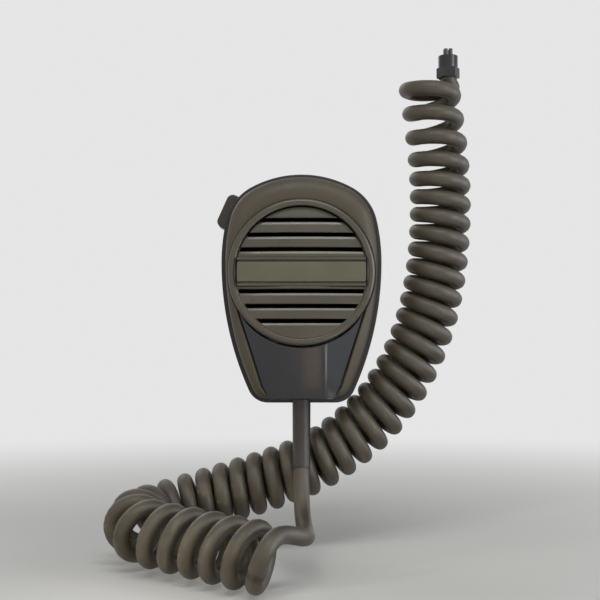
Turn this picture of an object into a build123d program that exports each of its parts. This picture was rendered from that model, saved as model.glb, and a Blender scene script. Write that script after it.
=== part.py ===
"""Palm-held paging microphone on its hanger, with a coiled cord that ends in a panel ferrule.

Millimetres, +Z up. The origin is on the hanger's back face, which lies on the wall plane Y = 0, behind the
centre of the grille. The microphone faces -Y, and a depth below is a distance in front of the wall.
"""

from build123d import *
import math
import os

os.makedirs("parts", exist_ok=True)

# Outline of the rear shell, seen from the front
MIC_WIDTH = 63.8
MIC_TOP = 39.9
MIC_BOTTOM = 51.0
WIDEST_HEIGHT = 5.0
CROWN_RADIUS = 42.0
SHOULDER_RADIUS = 20.0
UPPER_FLANK_RADIUS = 75.0
LOWER_FLANK_RADIUS = 124.0
CORNER_RADIUS = 8.2

# Depths of the case, from the wall
HANG_GAP = 8.0
REAR_SHELL_DEPTH = 18.0
FRONT_SHELL_DEPTH = 10.4
CASE_WALL = 2.0
RIM_STEP = 1.6
REAR_ROUNDING = (6.4, 6.0)
FRONT_ROUNDING = (5.0, 5.2)
SHELL_DRAFT = 0.5
ROUNDING_STEPS = 4
TONGUE_HEIGHT = 1.4
TONGUE_WALL = 1.2
SLIP = 0.1

# Grille cap and what is behind it
CAP_RADIUS = 28.4
CAP_GAP = 0.3
CAP_WALL = 1.8
CAP_SEAT_RISE = 8.2
CAP_EDGE = 0.9
SLAT_RADIUS = 25.7
SLAT_STEP = 0.8
DOME_RISE = 2.2
DOME_THICKNESS = 1.8
LEDGE_WIDTH = 2.3
LEDGE_THICKNESS = 2.0
COLLAR_WALL = 1.5
SLOT_RADIUS = 24.8
SLOT_HEIGHT = 1.5
SLOT_FIRST = 7.75
SLOT_PITCH = 5.75
SLOTS_PER_SIDE = 3
SLOT_SHIFT = 0.8
PLATE_LENGTH = 50.0
PLATE_HEIGHT = 7.8
PLATE_THICKNESS = 0.8
PLATE_RECESS = 0.6
PLATE_SHIFT = 0.5
PLATE_GAP = 0.15
FRAME_BORDER = 1.5
CLOTH_THICKNESS = 0.4
FOAM_THICKNESS = 1.4
BAFFLE_THICKNESS = 1.2
BAFFLE_COLLAR = 7.5
BAFFLE_HOLE = 1.6
BAFFLE_HOLE_COUNT = 8

# Chin panel below the cap
CHIN_TOP_HALF = 24.4
CHIN_TOP_DROP = 15.2
CHIN_SIDE_HALF = 15.4
CHIN_SIDE_DROP = 44.5
CHIN_FOOT_HALF = 12.4
CHIN_GAP = 0.35
CHIN_FLOOR_RISE = 7.4
CHIN_FLOOR = 1.4
CHIN_WALL = 1.6
CHIN_RISE = 4.2
CHIN_SLOPE = 0.156
CHIN_FACET_HALF = 9.8
CHIN_FACET_SLOPE = 0.26

# Dynamic cartridge
CAN_RADIUS = 14.0
CAN_LENGTH = 11.4
CAN_WALL = 0.8
BOOT_WALL = 3.0
BOOT_LENGTH = 8.5
BOOT_LIP = 1.1
YOKE_RADIUS = 10.0
YOKE_WALL = 2.0
YOKE_HEIGHT = 6.2
YOKE_FLOOR = 1.5
MAGNET_RADIUS = 5.2
POLE_RADIUS = 5.8
POLE_THICKNESS = 1.5
VOICE_COIL_RADIUS = 6.3
VOICE_COIL_WALL = 0.6
VOICE_COIL_LENGTH = 3.4
SPACER_WALL = 1.1
SPACER_LENGTH = 7.3
DIAPHRAGM_THICKNESS = 0.3
DIAPHRAGM_RISE = 1.1
COVER_THICKNESS = 0.8
COVER_RIM = 1.3
COVER_HOLE = 0.9
TERMINAL_PIN = 0.7
TERMINAL_LENGTH = 2.2
TERMINAL_SPREAD = 4.0

# Press-to-talk button, on the left shoulder
PTT_ANGLE = 24.0
PTT_DEPTH = 10.0
PTT_LENGTH = 14.2
PTT_WIDTH = 9.0
PTT_PROUD = 3.4
PTT_TRAVEL = 2.0
PTT_GAP = 0.35
PTT_FLANGE = 1.3
PTT_FLANGE_SIDE = 0.6
PTT_FLANGE_GAP = 1.4
PTT_FLANGE_THICKNESS = 1.2
PTT_CORNER = 2.6
NUB_RADIUS = 1.5
NUB_LENGTH = 2.0
SPRING_RADIUS = 2.9
SPRING_WIRE = 0.25
SPRING_TURNS = 5
PLUNGER_RADIUS = 1.1
PLUNGER_GAP = 0.05
PLUNGER_GRIP = 1.2
SPRING_SEAT_GAP = 0.9
SPRING_SEAT_WALL = 0.8
SWITCH_LENGTH = 10.0
SWITCH_WIDTH = 6.0
SWITCH_DEPTH = 6.5
TAB_LENGTH = 3.0
TAB_WIDTH = 2.0
TAB_THICKNESS = 0.6
TAB_SPREAD = 3.2
BRACKET_THICKNESS = 1.2
BRACKET_LENGTH = 20.0
BRACKET_SCREW_SPREAD = 7.6
BRACKET_BOSS_RADIUS = 2.2

# Hang button on the back
HANG_BOSS_RADIUS = 6.5
HANG_BOSS_RISE = 1.4
HANG_NECK_RADIUS = 2.6
HANG_HEAD_RADIUS = 5.4
HANG_HEAD_THICKNESS = 1.7
HANG_HEAD_GAP = 0.4

# Hanger on the wall
SHEET = 1.2
HANGER_WIDTH = 40.0
HANGER_HEIGHT = 20.0
HANGER_CORNER = 5.0
HANGER_HOLE_SPACING = 28.0
HANGER_HOLE_RADIUS = 2.1
POCKET_HALF = 8.4
POCKET_DEPTH = 5.2
POCKET_TOP = 9.0
POCKET_BOTTOM = 10.0
HANG_SLOT_GAP = 0.3
HANG_MOUTH = 1.8
HANG_MOUTH_DROP = 2.5

# Case screws: where they stand, and their size
TOP_SCREW_HEIGHT = 30.7
LOW_SCREW_SPREAD = 13.0
LOW_SCREW_DROP = 38.0
SCREW_RADIUS = 1.45
SCREW_HEAD_RADIUS = 2.7
SCREW_HEAD = 1.8
SCREW_SINK = 0.7
SCREW_REACH = 18.3
SCREW_CROSS = 3.6
SCREW_CROSS_WIDTH = 0.8
BOSS_RADIUS = 4.0
POST_RADIUS = 3.0
BOSS_HEIGHT = 11.8

# Small screws inside the case
SMALL_SCREW_RADIUS = 1.2
SMALL_HEAD_RADIUS = 2.3
SMALL_HEAD = 1.2
BRACKET_SCREW_REACH = 4.4
BOARD_SCREW_REACH = 4.2
CLAMP_SCREW_REACH = 5.5
CLAMP_SCREW_HOLE = 6.0

# Circuit board in the lower part of the rear shell
BOARD_LENGTH = 30.0
BOARD_HEIGHT = 15.0
BOARD_THICKNESS = 1.6
BOARD_DROP = 26.5
BOARD_STANDOFF = 3.0
BOARD_SCREW_SPREAD = 11.5
CAPACITOR_RADIUS = 2.5
CAPACITOR_HEIGHT = 5.0
RESISTOR_RADIUS = 0.9
RESISTOR_LENGTH = 5.0
TRANSISTOR_RADIUS = 2.2
TRANSISTOR_HEIGHT = 4.2

# Cord, strain relief and clamp
CORD_RADIUS = 3.1
RELIEF_GAP = 0.04
RELIEF_ROOT_RADIUS = 3.6
RELIEF_TIP_RADIUS = 3.4
RELIEF_DROP = 26.0
RELIEF_LEAN = 4.6
RELIEF_FLANGE_RADIUS = 5.2
RELIEF_FLANGE = 2.0
RELIEF_FLANGE_LIFT = 0.5
CORD_CHANNEL = 16.0
JACKET_END_DROP = 39.5
SADDLE_HALF = 8.6
SADDLE_DROP = 43.4
SADDLE_WIDTH = 4.6
CLAMP_THICKNESS = 1.0
CLAMP_SCREW_SPREAD = 6.0
WIRE_RADIUS = 0.6
WIRE_SPREAD = 1.2
BOARD_PAD_INSET = 1.6
BOARD_PAD_SPREAD = 8.0
COIL_RADIUS = 12.5

# Panel ferrule at the cord's far end
FERRULE_X = 60.3
FERRULE_DEPTH = 15.0
FERRULE_HEIGHT = 81.5
FERRULE_SKIRT_RADIUS = 4.75
FERRULE_SKIRT = 4.0
FERRULE_SHANK_RADIUS = 4.0
FERRULE_SHANK = 5.0
FERRULE_BORE_GAP = 0.05
CONDUCTOR_RADIUS = 0.8
CONDUCTOR_REACH = 3.0
CONDUCTOR_SPREAD = 1.4

# Route of the cord that hangs between the strain relief and the coil, chosen by hand.
# It starts with a straight run in line with the relief's tip.
LEAD_RUN = 13.0
LEAD_ROUTE = [
    (0.6, -46.0, -96.2),
    (1.2, -59.0, -97.6),
    (0.4, -72.0, -95.8),
    (-1.0, -83.0, -93.8),
    (-5.0, -90.0, -92.2),
    (-12.2, -93.2, -91.4),
]

# Routes of the two switch wires round the cartridge, inside the case
INNER_WIRE_ROUTE = [(-15.0, -26.0, -28.0), (-21.5, -23.5, -13.0), (-13.0, -18.0, -4.0), (-5.5, -18.0, 4.0)]
OUTER_WIRE_ROUTE = [(-17.0, -26.0, -31.2), (-24.2, -23.5, -13.0), (-15.0, -18.0, -1.2), (-9.0, -18.0, 5.0)]

# Axis of the coil, from the lead to the ferrule, chosen by hand
COIL_ROUTE = [
    (-9.0, -92.0, -99.5),
    (-23.5, -87.3, -99.5),
    (-37.0, -77.0, -99.5),
    (-48.5, -64.0, -99.5),
    (-57.8, -50.3, -99.5),
    (-63.6, -37.0, -99.0),
    (-60.8, -24.0, -97.5),
    (-49.5, -16.6, -94.0),
    (-32.0, -14.0, -88.5),
    (-12.0, -13.2, -82.5),
    (9.0, -13.0, -74.5),
    (33.0, -13.4, -55.0),
    (49.0, -14.0, -27.0),
    (56.0, -15.0, 5.0),
    (57.2, -15.4, 39.5),
    (53.4, -15.0, 73.5),
]

# Places worked out from the sizes above
PARTING = HANG_GAP + REAR_SHELL_DEPTH
REAR_FLOOR = HANG_GAP + CASE_WALL
FRONT_TOP = PARTING + FRONT_SHELL_DEPTH
BORE_RADIUS = CAP_RADIUS + CAP_GAP
THROAT_RADIUS = BORE_RADIUS - LEDGE_WIDTH
CHIN_RECESS = PARTING + CHIN_FLOOR_RISE
CAP_SEAT = PARTING + CAP_SEAT_RISE
BAFFLE_FRONT = CAP_SEAT + BAFFLE_THICKNESS
CLOTH_BACK = BAFFLE_FRONT + FOAM_THICKNESS
CLOTH_FRONT = CLOTH_BACK + CLOTH_THICKNESS
DOME_EDGE = CLOTH_FRONT + DOME_THICKNESS
DOME_TOP = DOME_EDGE + DOME_RISE
CAP_RIM = DOME_EDGE + SLAT_STEP
CAN_FRONT = CAP_SEAT - BOOT_LIP
CAN_BACK = CAN_FRONT - CAN_LENGTH
CAN_FLOOR = CAN_BACK + CAN_WALL
CAN_BORE = CAN_RADIUS - CAN_WALL
DIAPHRAGM_SEAT = CAN_FLOOR + SPACER_LENGTH
BOARD_BACK = REAR_FLOOR + BOARD_STANDOFF
BOARD_FRONT = BOARD_BACK + BOARD_THICKNESS
PTT_MIDDLE = HANG_GAP + PTT_DEPTH
SADDLE_TOP = PARTING + CORD_RADIUS + RELIEF_GAP
CASE_FOOT = -MIC_BOTTOM
RELIEF_FLANGE_FOOT = CASE_FOOT + CASE_WALL + RELIEF_FLANGE_LIFT
RELIEF_FLANGE_TOP = RELIEF_FLANGE_FOOT + RELIEF_FLANGE
CASE_SCREWS = [
    (0.0, TOP_SCREW_HEIGHT),
    (LOW_SCREW_SPREAD, -LOW_SCREW_DROP),
    (-LOW_SCREW_SPREAD, -LOW_SCREW_DROP),
]
BOARD_SCREWS = [(BOARD_SCREW_SPREAD, -BOARD_DROP), (-BOARD_SCREW_SPREAD, -BOARD_DROP)]


def front_plane(depth):
    """Plane parallel to the wall and depth in front of it, with X to the right and Z up."""
    return Plane(origin=(0, -depth, 0), x_dir=(1, 0, 0), z_dir=(0, -1, 0))


def slab(face, back, front):
    """Face drawn in X and Z, given thickness from the depth back to the depth front."""
    return extrude(front_plane(back) * face, front - back, dir=(0, -1, 0))


def rod(x, z, radius, back, front):
    """Round bar along Y."""
    return slab(Pos(x, z) * Circle(radius), back, front)


def tube(x, z, outer, inner, back, front):
    """Round tube along Y."""
    return slab(Pos(x, z) * (Circle(outer) - Circle(inner)), back, front)


def arc(centre, radius, start, end):
    """Arc about a centre, the short way from start to end."""
    middle = (start + end) * 0.5 - centre
    return ThreePointArc(start, centre + middle.normalized() * radius, end)


def shoulder_centres():
    """Centres of the crown, right upper flank and right shoulder arcs, the last tangent to both others."""
    crown = Vector(0, MIC_TOP - CROWN_RADIUS)
    upper = Vector(MIC_WIDTH / 2 - UPPER_FLANK_RADIUS, WIDEST_HEIGHT)
    to_crown = CROWN_RADIUS - SHOULDER_RADIUS
    to_upper = UPPER_FLANK_RADIUS - SHOULDER_RADIUS
    apart = (crown - upper).length
    along = (to_upper**2 - to_crown**2 + apart**2) / (2 * apart)
    across = math.sqrt(to_upper**2 - along**2)
    line = (crown - upper).normalized()
    return crown, upper, upper + line * along + Vector(-line.Y, line.X) * across


def mic_outline(inset=0.0):
    """Outline of the case, drawn as tangent arcs and moved inwards by inset."""
    half = MIC_WIDTH / 2
    crown, upper, shoulder = shoulder_centres()
    lower = Vector(half - LOWER_FLANK_RADIUS, WIDEST_HEIGHT)
    corner_z = CORNER_RADIUS - MIC_BOTTOM
    reach = math.sqrt((LOWER_FLANK_RADIUS - CORNER_RADIUS) ** 2 - (corner_z - WIDEST_HEIGHT) ** 2)
    corner = Vector(lower.X + reach, corner_z)
    top = Vector(0, MIC_TOP - inset)
    crown_end = crown + (shoulder - crown).normalized() * (CROWN_RADIUS - inset)
    shoulder_end = upper + (shoulder - upper).normalized() * (UPPER_FLANK_RADIUS - inset)
    widest = Vector(half - inset, WIDEST_HEIGHT)
    flank_end = lower + (corner - lower).normalized() * (LOWER_FLANK_RADIUS - inset)
    foot = Vector(corner.X, inset - MIC_BOTTOM)
    right = [
        arc(crown, CROWN_RADIUS - inset, top, crown_end),
        arc(shoulder, SHOULDER_RADIUS - inset, crown_end, shoulder_end),
        arc(upper, UPPER_FLANK_RADIUS - inset, shoulder_end, widest),
        arc(lower, LOWER_FLANK_RADIUS - inset, widest, flank_end),
        arc(corner, CORNER_RADIUS - inset, flank_end, foot),
    ]
    left = [mirror(edge, Plane.YZ) for edge in right]
    bottom = Line(foot, (-foot.X, foot.Y))
    return make_face(right + [bottom] + left)


def rounded_body(inset, parting, crown, rounding):
    """Solid from the parting depth to the crown depth, drafted and then rounded like a quarter ellipse."""
    across, along = rounding
    way = 1 if crown > parting else -1
    stops = [(inset, parting)]
    for step in range(ROUNDING_STEPS + 1):
        turn = math.radians(90 * step / ROUNDING_STEPS)
        deep = crown - way * along * (1 - math.sin(turn))
        stops.append((inset + SHELL_DRAFT + across * (1 - math.cos(turn)), deep))
    body = None
    for (inset_a, depth_a), (inset_b, depth_b) in zip(stops, stops[1:]):
        taper = math.degrees(math.atan2(inset_b - inset_a, abs(depth_b - depth_a)))
        start = front_plane(depth_a) * mic_outline(inset_a)
        stage = extrude(start, abs(depth_b - depth_a), dir=(0, -way, 0), taper=taper)
        body = stage if body is None else body + stage
    return body


def inner_rounding(rounding):
    """Rounding of a cavity, one wall inside a shell's own rounding."""
    across, along = rounding
    return (across - CASE_WALL * 0.8, along - CASE_WALL * 0.4)


def ptt_place(along, out):
    """Place on the left shoulder: along the outline and out from it, in X and Z."""
    shoulder = shoulder_centres()[2]
    angle = math.radians(PTT_ANGLE)
    outward = Vector(-math.cos(angle), math.sin(angle))
    upward = Vector(math.sin(angle), math.cos(angle))
    return Vector(-shoulder.X, shoulder.Y) + outward * (SHOULDER_RADIUS + out) + upward * along


def ptt_frame():
    """Frame of the button: X along the outline, Y towards the wall, Z outwards."""
    origin = ptt_place(0, 0)
    angle = math.radians(PTT_ANGLE)
    return Plane(
        origin=(origin.X, -PTT_MIDDLE, origin.Y),
        x_dir=(math.sin(angle), 0, math.cos(angle)),
        z_dir=(-math.cos(angle), 0, math.sin(angle)),
    ).location


PTT_FRAME = ptt_frame()
# Distances along the button's own axis, outwards from the outline
FLANGE_TOP = -((PTT_LENGTH / 2 + PTT_FLANGE) ** 2) / (2 * SHOULDER_RADIUS) - CASE_WALL - PTT_FLANGE_GAP
FLANGE_FOOT = FLANGE_TOP - PTT_FLANGE_THICKNESS
NUB_FOOT = FLANGE_FOOT - NUB_LENGTH
SEAT_TOP = NUB_FOOT - PTT_TRAVEL - SPRING_SEAT_GAP
SWITCH_TOP = SEAT_TOP - SPRING_SEAT_WALL
PLUNGER_FOOT = SWITCH_TOP - PLUNGER_GRIP
SWITCH_FOOT = SWITCH_TOP - SWITCH_DEPTH
TAB_FOOT = SWITCH_FOOT - TAB_LENGTH
BRACKET_TOP = SWITCH_WIDTH / 2 + BRACKET_THICKNESS


def ptt_box(length, width, low, high, shift=0.0):
    """Box in the button's frame, between two heights on its axis."""
    middle = (low + high) / 2
    return PTT_FRAME * Pos(0, shift, middle) * Box(length, width, high - low)


def ptt_rod(radius, low, high):
    """Round bar along the button's axis."""
    return PTT_FRAME * Pos(0, 0, (low + high) / 2) * Cylinder(radius, high - low)


def bracket_screw_places():
    """Where the switch bracket's two screws stand, in X and Z."""
    middle = (SWITCH_TOP + SWITCH_FOOT) / 2
    return [ptt_place(side * BRACKET_SCREW_SPREAD, middle) for side in (1, -1)]


def make_rear_case():
    """Rear shell with its bosses, the button's opening and the cord's saddle."""
    body = rounded_body(0, PARTING, HANG_GAP, REAR_ROUNDING)
    cavity = rounded_body(CASE_WALL, PARTING, REAR_FLOOR, inner_rounding(REAR_ROUNDING))
    body -= cavity
    body += rod(0, 0, HANG_BOSS_RADIUS, HANG_GAP - HANG_BOSS_RISE, REAR_FLOOR)
    boss_top = HANG_GAP + BOSS_HEIGHT
    for x, z in CASE_SCREWS:
        body += rod(x, z, BOSS_RADIUS, REAR_FLOOR, boss_top)
    for x, z in BOARD_SCREWS:
        body += rod(x, z, SMALL_HEAD_RADIUS, REAR_FLOOR - 0.5, BOARD_BACK)
    bracket_foot = PTT_MIDDLE - BRACKET_TOP
    for place in bracket_screw_places():
        body += rod(place.X, place.Y, BRACKET_BOSS_RADIUS, REAR_FLOOR - 0.5, bracket_foot)
    saddle = Pos(0, -SADDLE_DROP) * Rectangle(2 * SADDLE_HALF, SADDLE_WIDTH)
    body += slab(saddle, REAR_FLOOR - 0.5, SADDLE_TOP)
    notch = Pos(0, -SADDLE_DROP) * Rectangle(2 * (CORD_RADIUS + RELIEF_GAP), SADDLE_WIDTH + 1)
    body -= slab(notch, PARTING, SADDLE_TOP + 1)
    channel = CORD_CHANNEL + 4 * CASE_WALL
    channel_middle = CASE_FOOT + CORD_CHANNEL - channel / 2
    body -= Pos(0, -PARTING, channel_middle) * Cylinder(CORD_RADIUS + RELIEF_GAP, channel)
    body -= Pos(0, -PARTING, CASE_FOOT) * Cylinder(RELIEF_ROOT_RADIUS + SLIP, 2 * CASE_WALL + 1)
    head_seat = HANG_GAP + SCREW_SINK + SCREW_HEAD
    for x, z in CASE_SCREWS:
        body -= rod(x, z, SCREW_RADIUS + SLIP, HANG_GAP, boss_top + 1)
        body -= rod(x, z, SCREW_HEAD_RADIUS + SLIP, HANG_GAP - 1, head_seat)
    for x, z in BOARD_SCREWS:
        body -= rod(x, z, SMALL_SCREW_RADIUS + SLIP, REAR_FLOOR - 0.5, BOARD_BACK + 1)
    for place in bracket_screw_places():
        body -= rod(place.X, place.Y, SMALL_SCREW_RADIUS + SLIP, REAR_FLOOR - 0.5, bracket_foot + 1)
    for side in (1, -1):
        x = side * CLAMP_SCREW_SPREAD
        hole_floor = PARTING - CLAMP_SCREW_HOLE
        body -= rod(x, -SADDLE_DROP, SMALL_SCREW_RADIUS + SLIP, hole_floor, SADDLE_TOP + 1)
    body -= rod(0, 0, SCREW_RADIUS + SLIP, HANG_GAP - HANG_BOSS_RISE - 1, REAR_FLOOR + 1)
    length = PTT_LENGTH + 2 * PTT_GAP
    width = PTT_WIDTH + 2 * PTT_GAP
    body -= ptt_box(length, width, FLANGE_TOP, PTT_PROUD)
    return body


def chin_outline(grow=0.0):
    """Outline of the chin panel, below the cap, grown by a margin."""
    foot = -(MIC_BOTTOM - RIM_STEP)
    points = [
        (CHIN_TOP_HALF, -CHIN_TOP_DROP),
        (CHIN_SIDE_HALF, -CHIN_SIDE_DROP),
        (CHIN_FOOT_HALF, foot),
    ]
    shield = Polygon(*points, *[(-x, z) for x, z in reversed(points)], align=None)
    if grow:
        shield = offset(shield, grow, kind=Kind.INTERSECTION)
    return shield - Circle(BORE_RADIUS + CAP_GAP - grow)


def below_facets(solid, sink):
    """What of a solid lies behind the chin's three facets, sunk by a distance."""
    depth = CHIN_RECESS + CHIN_RISE - sink
    height = -BORE_RADIUS
    solid = split(solid, bisect_by=Plane((0, -depth, height), z_dir=(0, -1, -CHIN_SLOPE)), keep=Keep.BOTTOM)
    for side in (1, -1):
        origin = (side * CHIN_FACET_HALF, -depth, height)
        facet = Plane(origin, z_dir=(side * CHIN_FACET_SLOPE, -1, -CHIN_SLOPE))
        solid = split(solid, bisect_by=facet, keep=Keep.BOTTOM)
    return solid


def make_chin_panel():
    """Three-faceted shell in the chin's recess, hollow towards the case."""
    top = CHIN_RECESS + 2 * CHIN_RISE
    outer = below_facets(slab(chin_outline(), CHIN_RECESS, top), 0)
    return outer - below_facets(slab(chin_outline(-CHIN_WALL), CHIN_RECESS, top), CHIN_WALL)


def make_front_case():
    """Front shell: the rounded band, the cap's seat, the chin's recess and the screw posts."""
    outer = rounded_body(RIM_STEP, PARTING, FRONT_TOP, FRONT_ROUNDING)
    inner = rounded_body(
        RIM_STEP + CASE_WALL, PARTING, FRONT_TOP - CASE_WALL, inner_rounding(FRONT_ROUNDING)
    )
    body = outer - inner
    ledge_back = CAP_SEAT - LEDGE_THICKNESS
    body += rod(0, 0, BORE_RADIUS + COLLAR_WALL, ledge_back, FRONT_TOP) & outer
    body += slab(chin_outline(CHIN_WALL), CHIN_RECESS - CHIN_FLOOR, FRONT_TOP) & outer
    boss_top = HANG_GAP + BOSS_HEIGHT
    for x, z in CASE_SCREWS:
        post_top = FRONT_TOP - CASE_WALL + 0.5 if z > 0 else CHIN_RECESS - 0.4
        body += rod(x, z, POST_RADIUS, boss_top + SLIP, post_top)
    body -= rod(0, 0, BORE_RADIUS, CAP_SEAT, FRONT_TOP + 5)
    body -= rod(0, 0, THROAT_RADIUS, ledge_back - 5, CAP_SEAT + 1)
    body -= slab(chin_outline(CHIN_GAP), CHIN_RECESS, FRONT_TOP + 5)
    for x, z in CASE_SCREWS:
        reach = HANG_GAP + SCREW_SINK + SCREW_HEAD + SCREW_REACH
        body -= rod(x, z, SCREW_RADIUS + SLIP, boss_top - 1, reach + 0.5)
    tongue_in = CASE_WALL + SLIP
    tongue = mic_outline(tongue_in) - mic_outline(tongue_in + TONGUE_WALL)
    lip = slab(mic_outline(RIM_STEP) - mic_outline(tongue_in + TONGUE_WALL), PARTING, PARTING + 1.0)
    body += slab(tongue, PARTING - TONGUE_HEIGHT, PARTING + 1.0) + lip
    body -= Pos(0, -PARTING, CASE_FOOT) * Cylinder(RELIEF_ROOT_RADIUS + SLIP, 4 * CASE_WALL)
    groove_foot = CASE_FOOT + CASE_WALL
    groove_top = RELIEF_FLANGE_TOP + 2 * CASE_WALL
    groove = Cylinder(RELIEF_FLANGE_RADIUS + SLIP, groove_top - groove_foot)
    return body - Pos(0, -PARTING, (groove_foot + groove_top) / 2) * groove


def make_grille_cap():
    """Round cap: skirt, rim, slotted dome and the nameplate's frame."""
    rim_in = SLAT_RADIUS + 0.5
    sag = DOME_RISE * 0.25
    half = SLAT_RADIUS / 2
    with BuildPart() as cap:
        with BuildSketch(Plane.XY):
            with BuildLine():
                Polyline(
                    (SLAT_RADIUS, -CLOTH_FRONT),
                    (CAP_RADIUS - CAP_WALL, -CLOTH_FRONT),
                    (CAP_RADIUS - CAP_WALL, -BAFFLE_FRONT),
                    (CAP_RADIUS, -BAFFLE_FRONT),
                    (CAP_RADIUS, CAP_EDGE - CAP_RIM),
                    (CAP_RADIUS - CAP_EDGE, -CAP_RIM),
                    (rim_in, -CAP_RIM),
                    (SLAT_RADIUS, -DOME_EDGE),
                )
                ThreePointArc((SLAT_RADIUS, -DOME_EDGE), (half, sag - DOME_TOP), (0, -DOME_TOP))
                Line((0, -DOME_TOP), (0, DOME_THICKNESS - DOME_TOP))
                ThreePointArc(
                    (0, DOME_THICKNESS - DOME_TOP),
                    (half, DOME_THICKNESS + sag - DOME_TOP),
                    (SLAT_RADIUS, -CLOTH_FRONT),
                )
            make_face()
        revolve(axis=Axis.Y)
    body = cap.part
    for side in (1, -1):
        for row in range(SLOTS_PER_SIDE):
            z = side * (SLOT_FIRST + row * SLOT_PITCH) + SLOT_SHIFT
            slot = (Pos(0, z) * Rectangle(2 * CAP_RADIUS, SLOT_HEIGHT)) & Circle(SLOT_RADIUS)
            body -= slab(slot, CLOTH_FRONT - 0.5, DOME_TOP + 1)
    frame_height = PLATE_HEIGHT + 2 * FRAME_BORDER
    frame = (Pos(0, PLATE_SHIFT) * Rectangle(2 * CAP_RADIUS, frame_height)) & Circle(rim_in)
    body += slab(frame, DOME_TOP - DOME_THICKNESS, DOME_TOP - 0.1)
    recess = Pos(0, PLATE_SHIFT) * Rectangle(PLATE_LENGTH + 2 * PLATE_GAP, PLATE_HEIGHT + 2 * PLATE_GAP)
    body -= slab(recess, DOME_TOP - 0.1 - PLATE_RECESS, DOME_TOP + 1)
    return body


def make_nameplate():
    """Bare plate in the cap's frame."""
    back = DOME_TOP - 0.1 - PLATE_RECESS
    plate = Pos(0, PLATE_SHIFT) * RectangleRounded(PLATE_LENGTH, PLATE_HEIGHT, 0.5)
    return slab(plate, back, back + PLATE_THICKNESS)


def make_grille_cloth():
    """Woven disc behind the slots."""
    return rod(0, 0, CAP_RADIUS - CAP_WALL - SLIP, CLOTH_BACK, CLOTH_FRONT)


def make_foam_pad():
    """Foam disc between the cloth and the baffle."""
    return rod(0, 0, CAP_RADIUS - CAP_WALL - SLIP, BAFFLE_FRONT, CLOTH_BACK)


def make_baffle():
    """Perforated plate on the case's ledge, with the collar that holds the boot."""
    body = rod(0, 0, BORE_RADIUS - SLIP, CAP_SEAT, BAFFLE_FRONT)
    inner = CAN_RADIUS + BOOT_WALL + SLIP
    body += tube(0, 0, inner + COLLAR_WALL, inner, CAP_SEAT - BAFFLE_COLLAR, CAP_SEAT)
    body -= rod(0, 0, BAFFLE_HOLE, CAP_SEAT - 1, BAFFLE_FRONT + 1)
    for index in range(BAFFLE_HOLE_COUNT):
        turn = 2 * math.pi * index / BAFFLE_HOLE_COUNT
        x = CAN_RADIUS * 0.55 * math.cos(turn)
        z = CAN_RADIUS * 0.55 * math.sin(turn)
        body -= rod(x, z, BAFFLE_HOLE, CAP_SEAT - 1, BAFFLE_FRONT + 1)
    return body


def make_cartridge_boot():
    """Rubber ring that holds the cartridge in the baffle's collar."""
    body = tube(0, 0, CAN_RADIUS + BOOT_WALL, CAN_RADIUS + SLIP / 2, CAP_SEAT - BOOT_LENGTH, CAP_SEAT)
    return body + tube(0, 0, CAN_RADIUS + BOOT_WALL, CAN_BORE - 0.8, CAN_FRONT, CAP_SEAT)


def make_cartridge_case():
    """Cup of the cartridge, open to the front."""
    body = rod(0, 0, CAN_RADIUS, CAN_BACK, CAN_FRONT)
    body -= rod(0, 0, CAN_BORE, CAN_FLOOR, CAN_FRONT + 1)
    for side in (1, -1):
        body -= rod(side * TERMINAL_SPREAD, 0, TERMINAL_PIN + SLIP, CAN_BACK - 1, CAN_FLOOR + 1)
    return body


def make_cartridge_terminals():
    """Two pins through the back of the cup."""
    pins = [
        rod(side * TERMINAL_SPREAD, 0, TERMINAL_PIN, CAN_BACK - TERMINAL_LENGTH, CAN_FLOOR)
        for side in (1, -1)
    ]
    return Compound(children=pins)


def make_yoke():
    """Iron pot round the magnet."""
    body = rod(0, 0, YOKE_RADIUS, CAN_FLOOR, CAN_FLOOR + YOKE_HEIGHT)
    return body - rod(0, 0, YOKE_RADIUS - YOKE_WALL, CAN_FLOOR + YOKE_FLOOR, CAN_FLOOR + YOKE_HEIGHT + 1)


def make_magnet():
    """Disc magnet on the pot's floor."""
    return rod(0, 0, MAGNET_RADIUS, CAN_FLOOR + YOKE_FLOOR, CAN_FLOOR + YOKE_HEIGHT - POLE_THICKNESS)


def make_pole_piece():
    """Iron disc on the magnet."""
    top = CAN_FLOOR + YOKE_HEIGHT
    return rod(0, 0, POLE_RADIUS, top - POLE_THICKNESS, top)


def make_voice_coil():
    """Winding in the magnet's gap, fixed to the diaphragm."""
    outer = VOICE_COIL_RADIUS + VOICE_COIL_WALL
    return tube(0, 0, outer, VOICE_COIL_RADIUS, DIAPHRAGM_SEAT - VOICE_COIL_LENGTH, DIAPHRAGM_SEAT)


def make_diaphragm():
    """Thin disc that lies on the spacer, with a round dome inside the voice coil."""
    top = DIAPHRAGM_SEAT + DIAPHRAGM_THICKNESS
    crown = top + DIAPHRAGM_RISE
    sphere = (VOICE_COIL_RADIUS**2 + DIAPHRAGM_RISE**2) / (2 * DIAPHRAGM_RISE)
    dome = Pos(0, sphere - crown, 0) * (Sphere(sphere) - Sphere(sphere - DIAPHRAGM_THICKNESS))
    dome = dome & rod(0, 0, VOICE_COIL_RADIUS, DIAPHRAGM_SEAT, crown + 1)
    inner = VOICE_COIL_RADIUS - DIAPHRAGM_THICKNESS
    return dome + tube(0, 0, CAN_BORE - SLIP / 2, inner, DIAPHRAGM_SEAT, top)


def make_cartridge_spacer():
    """Ring that holds the diaphragm above the magnet."""
    outer = CAN_BORE - SLIP / 2
    return tube(0, 0, outer, outer - SPACER_WALL, CAN_FLOOR, DIAPHRAGM_SEAT)


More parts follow.
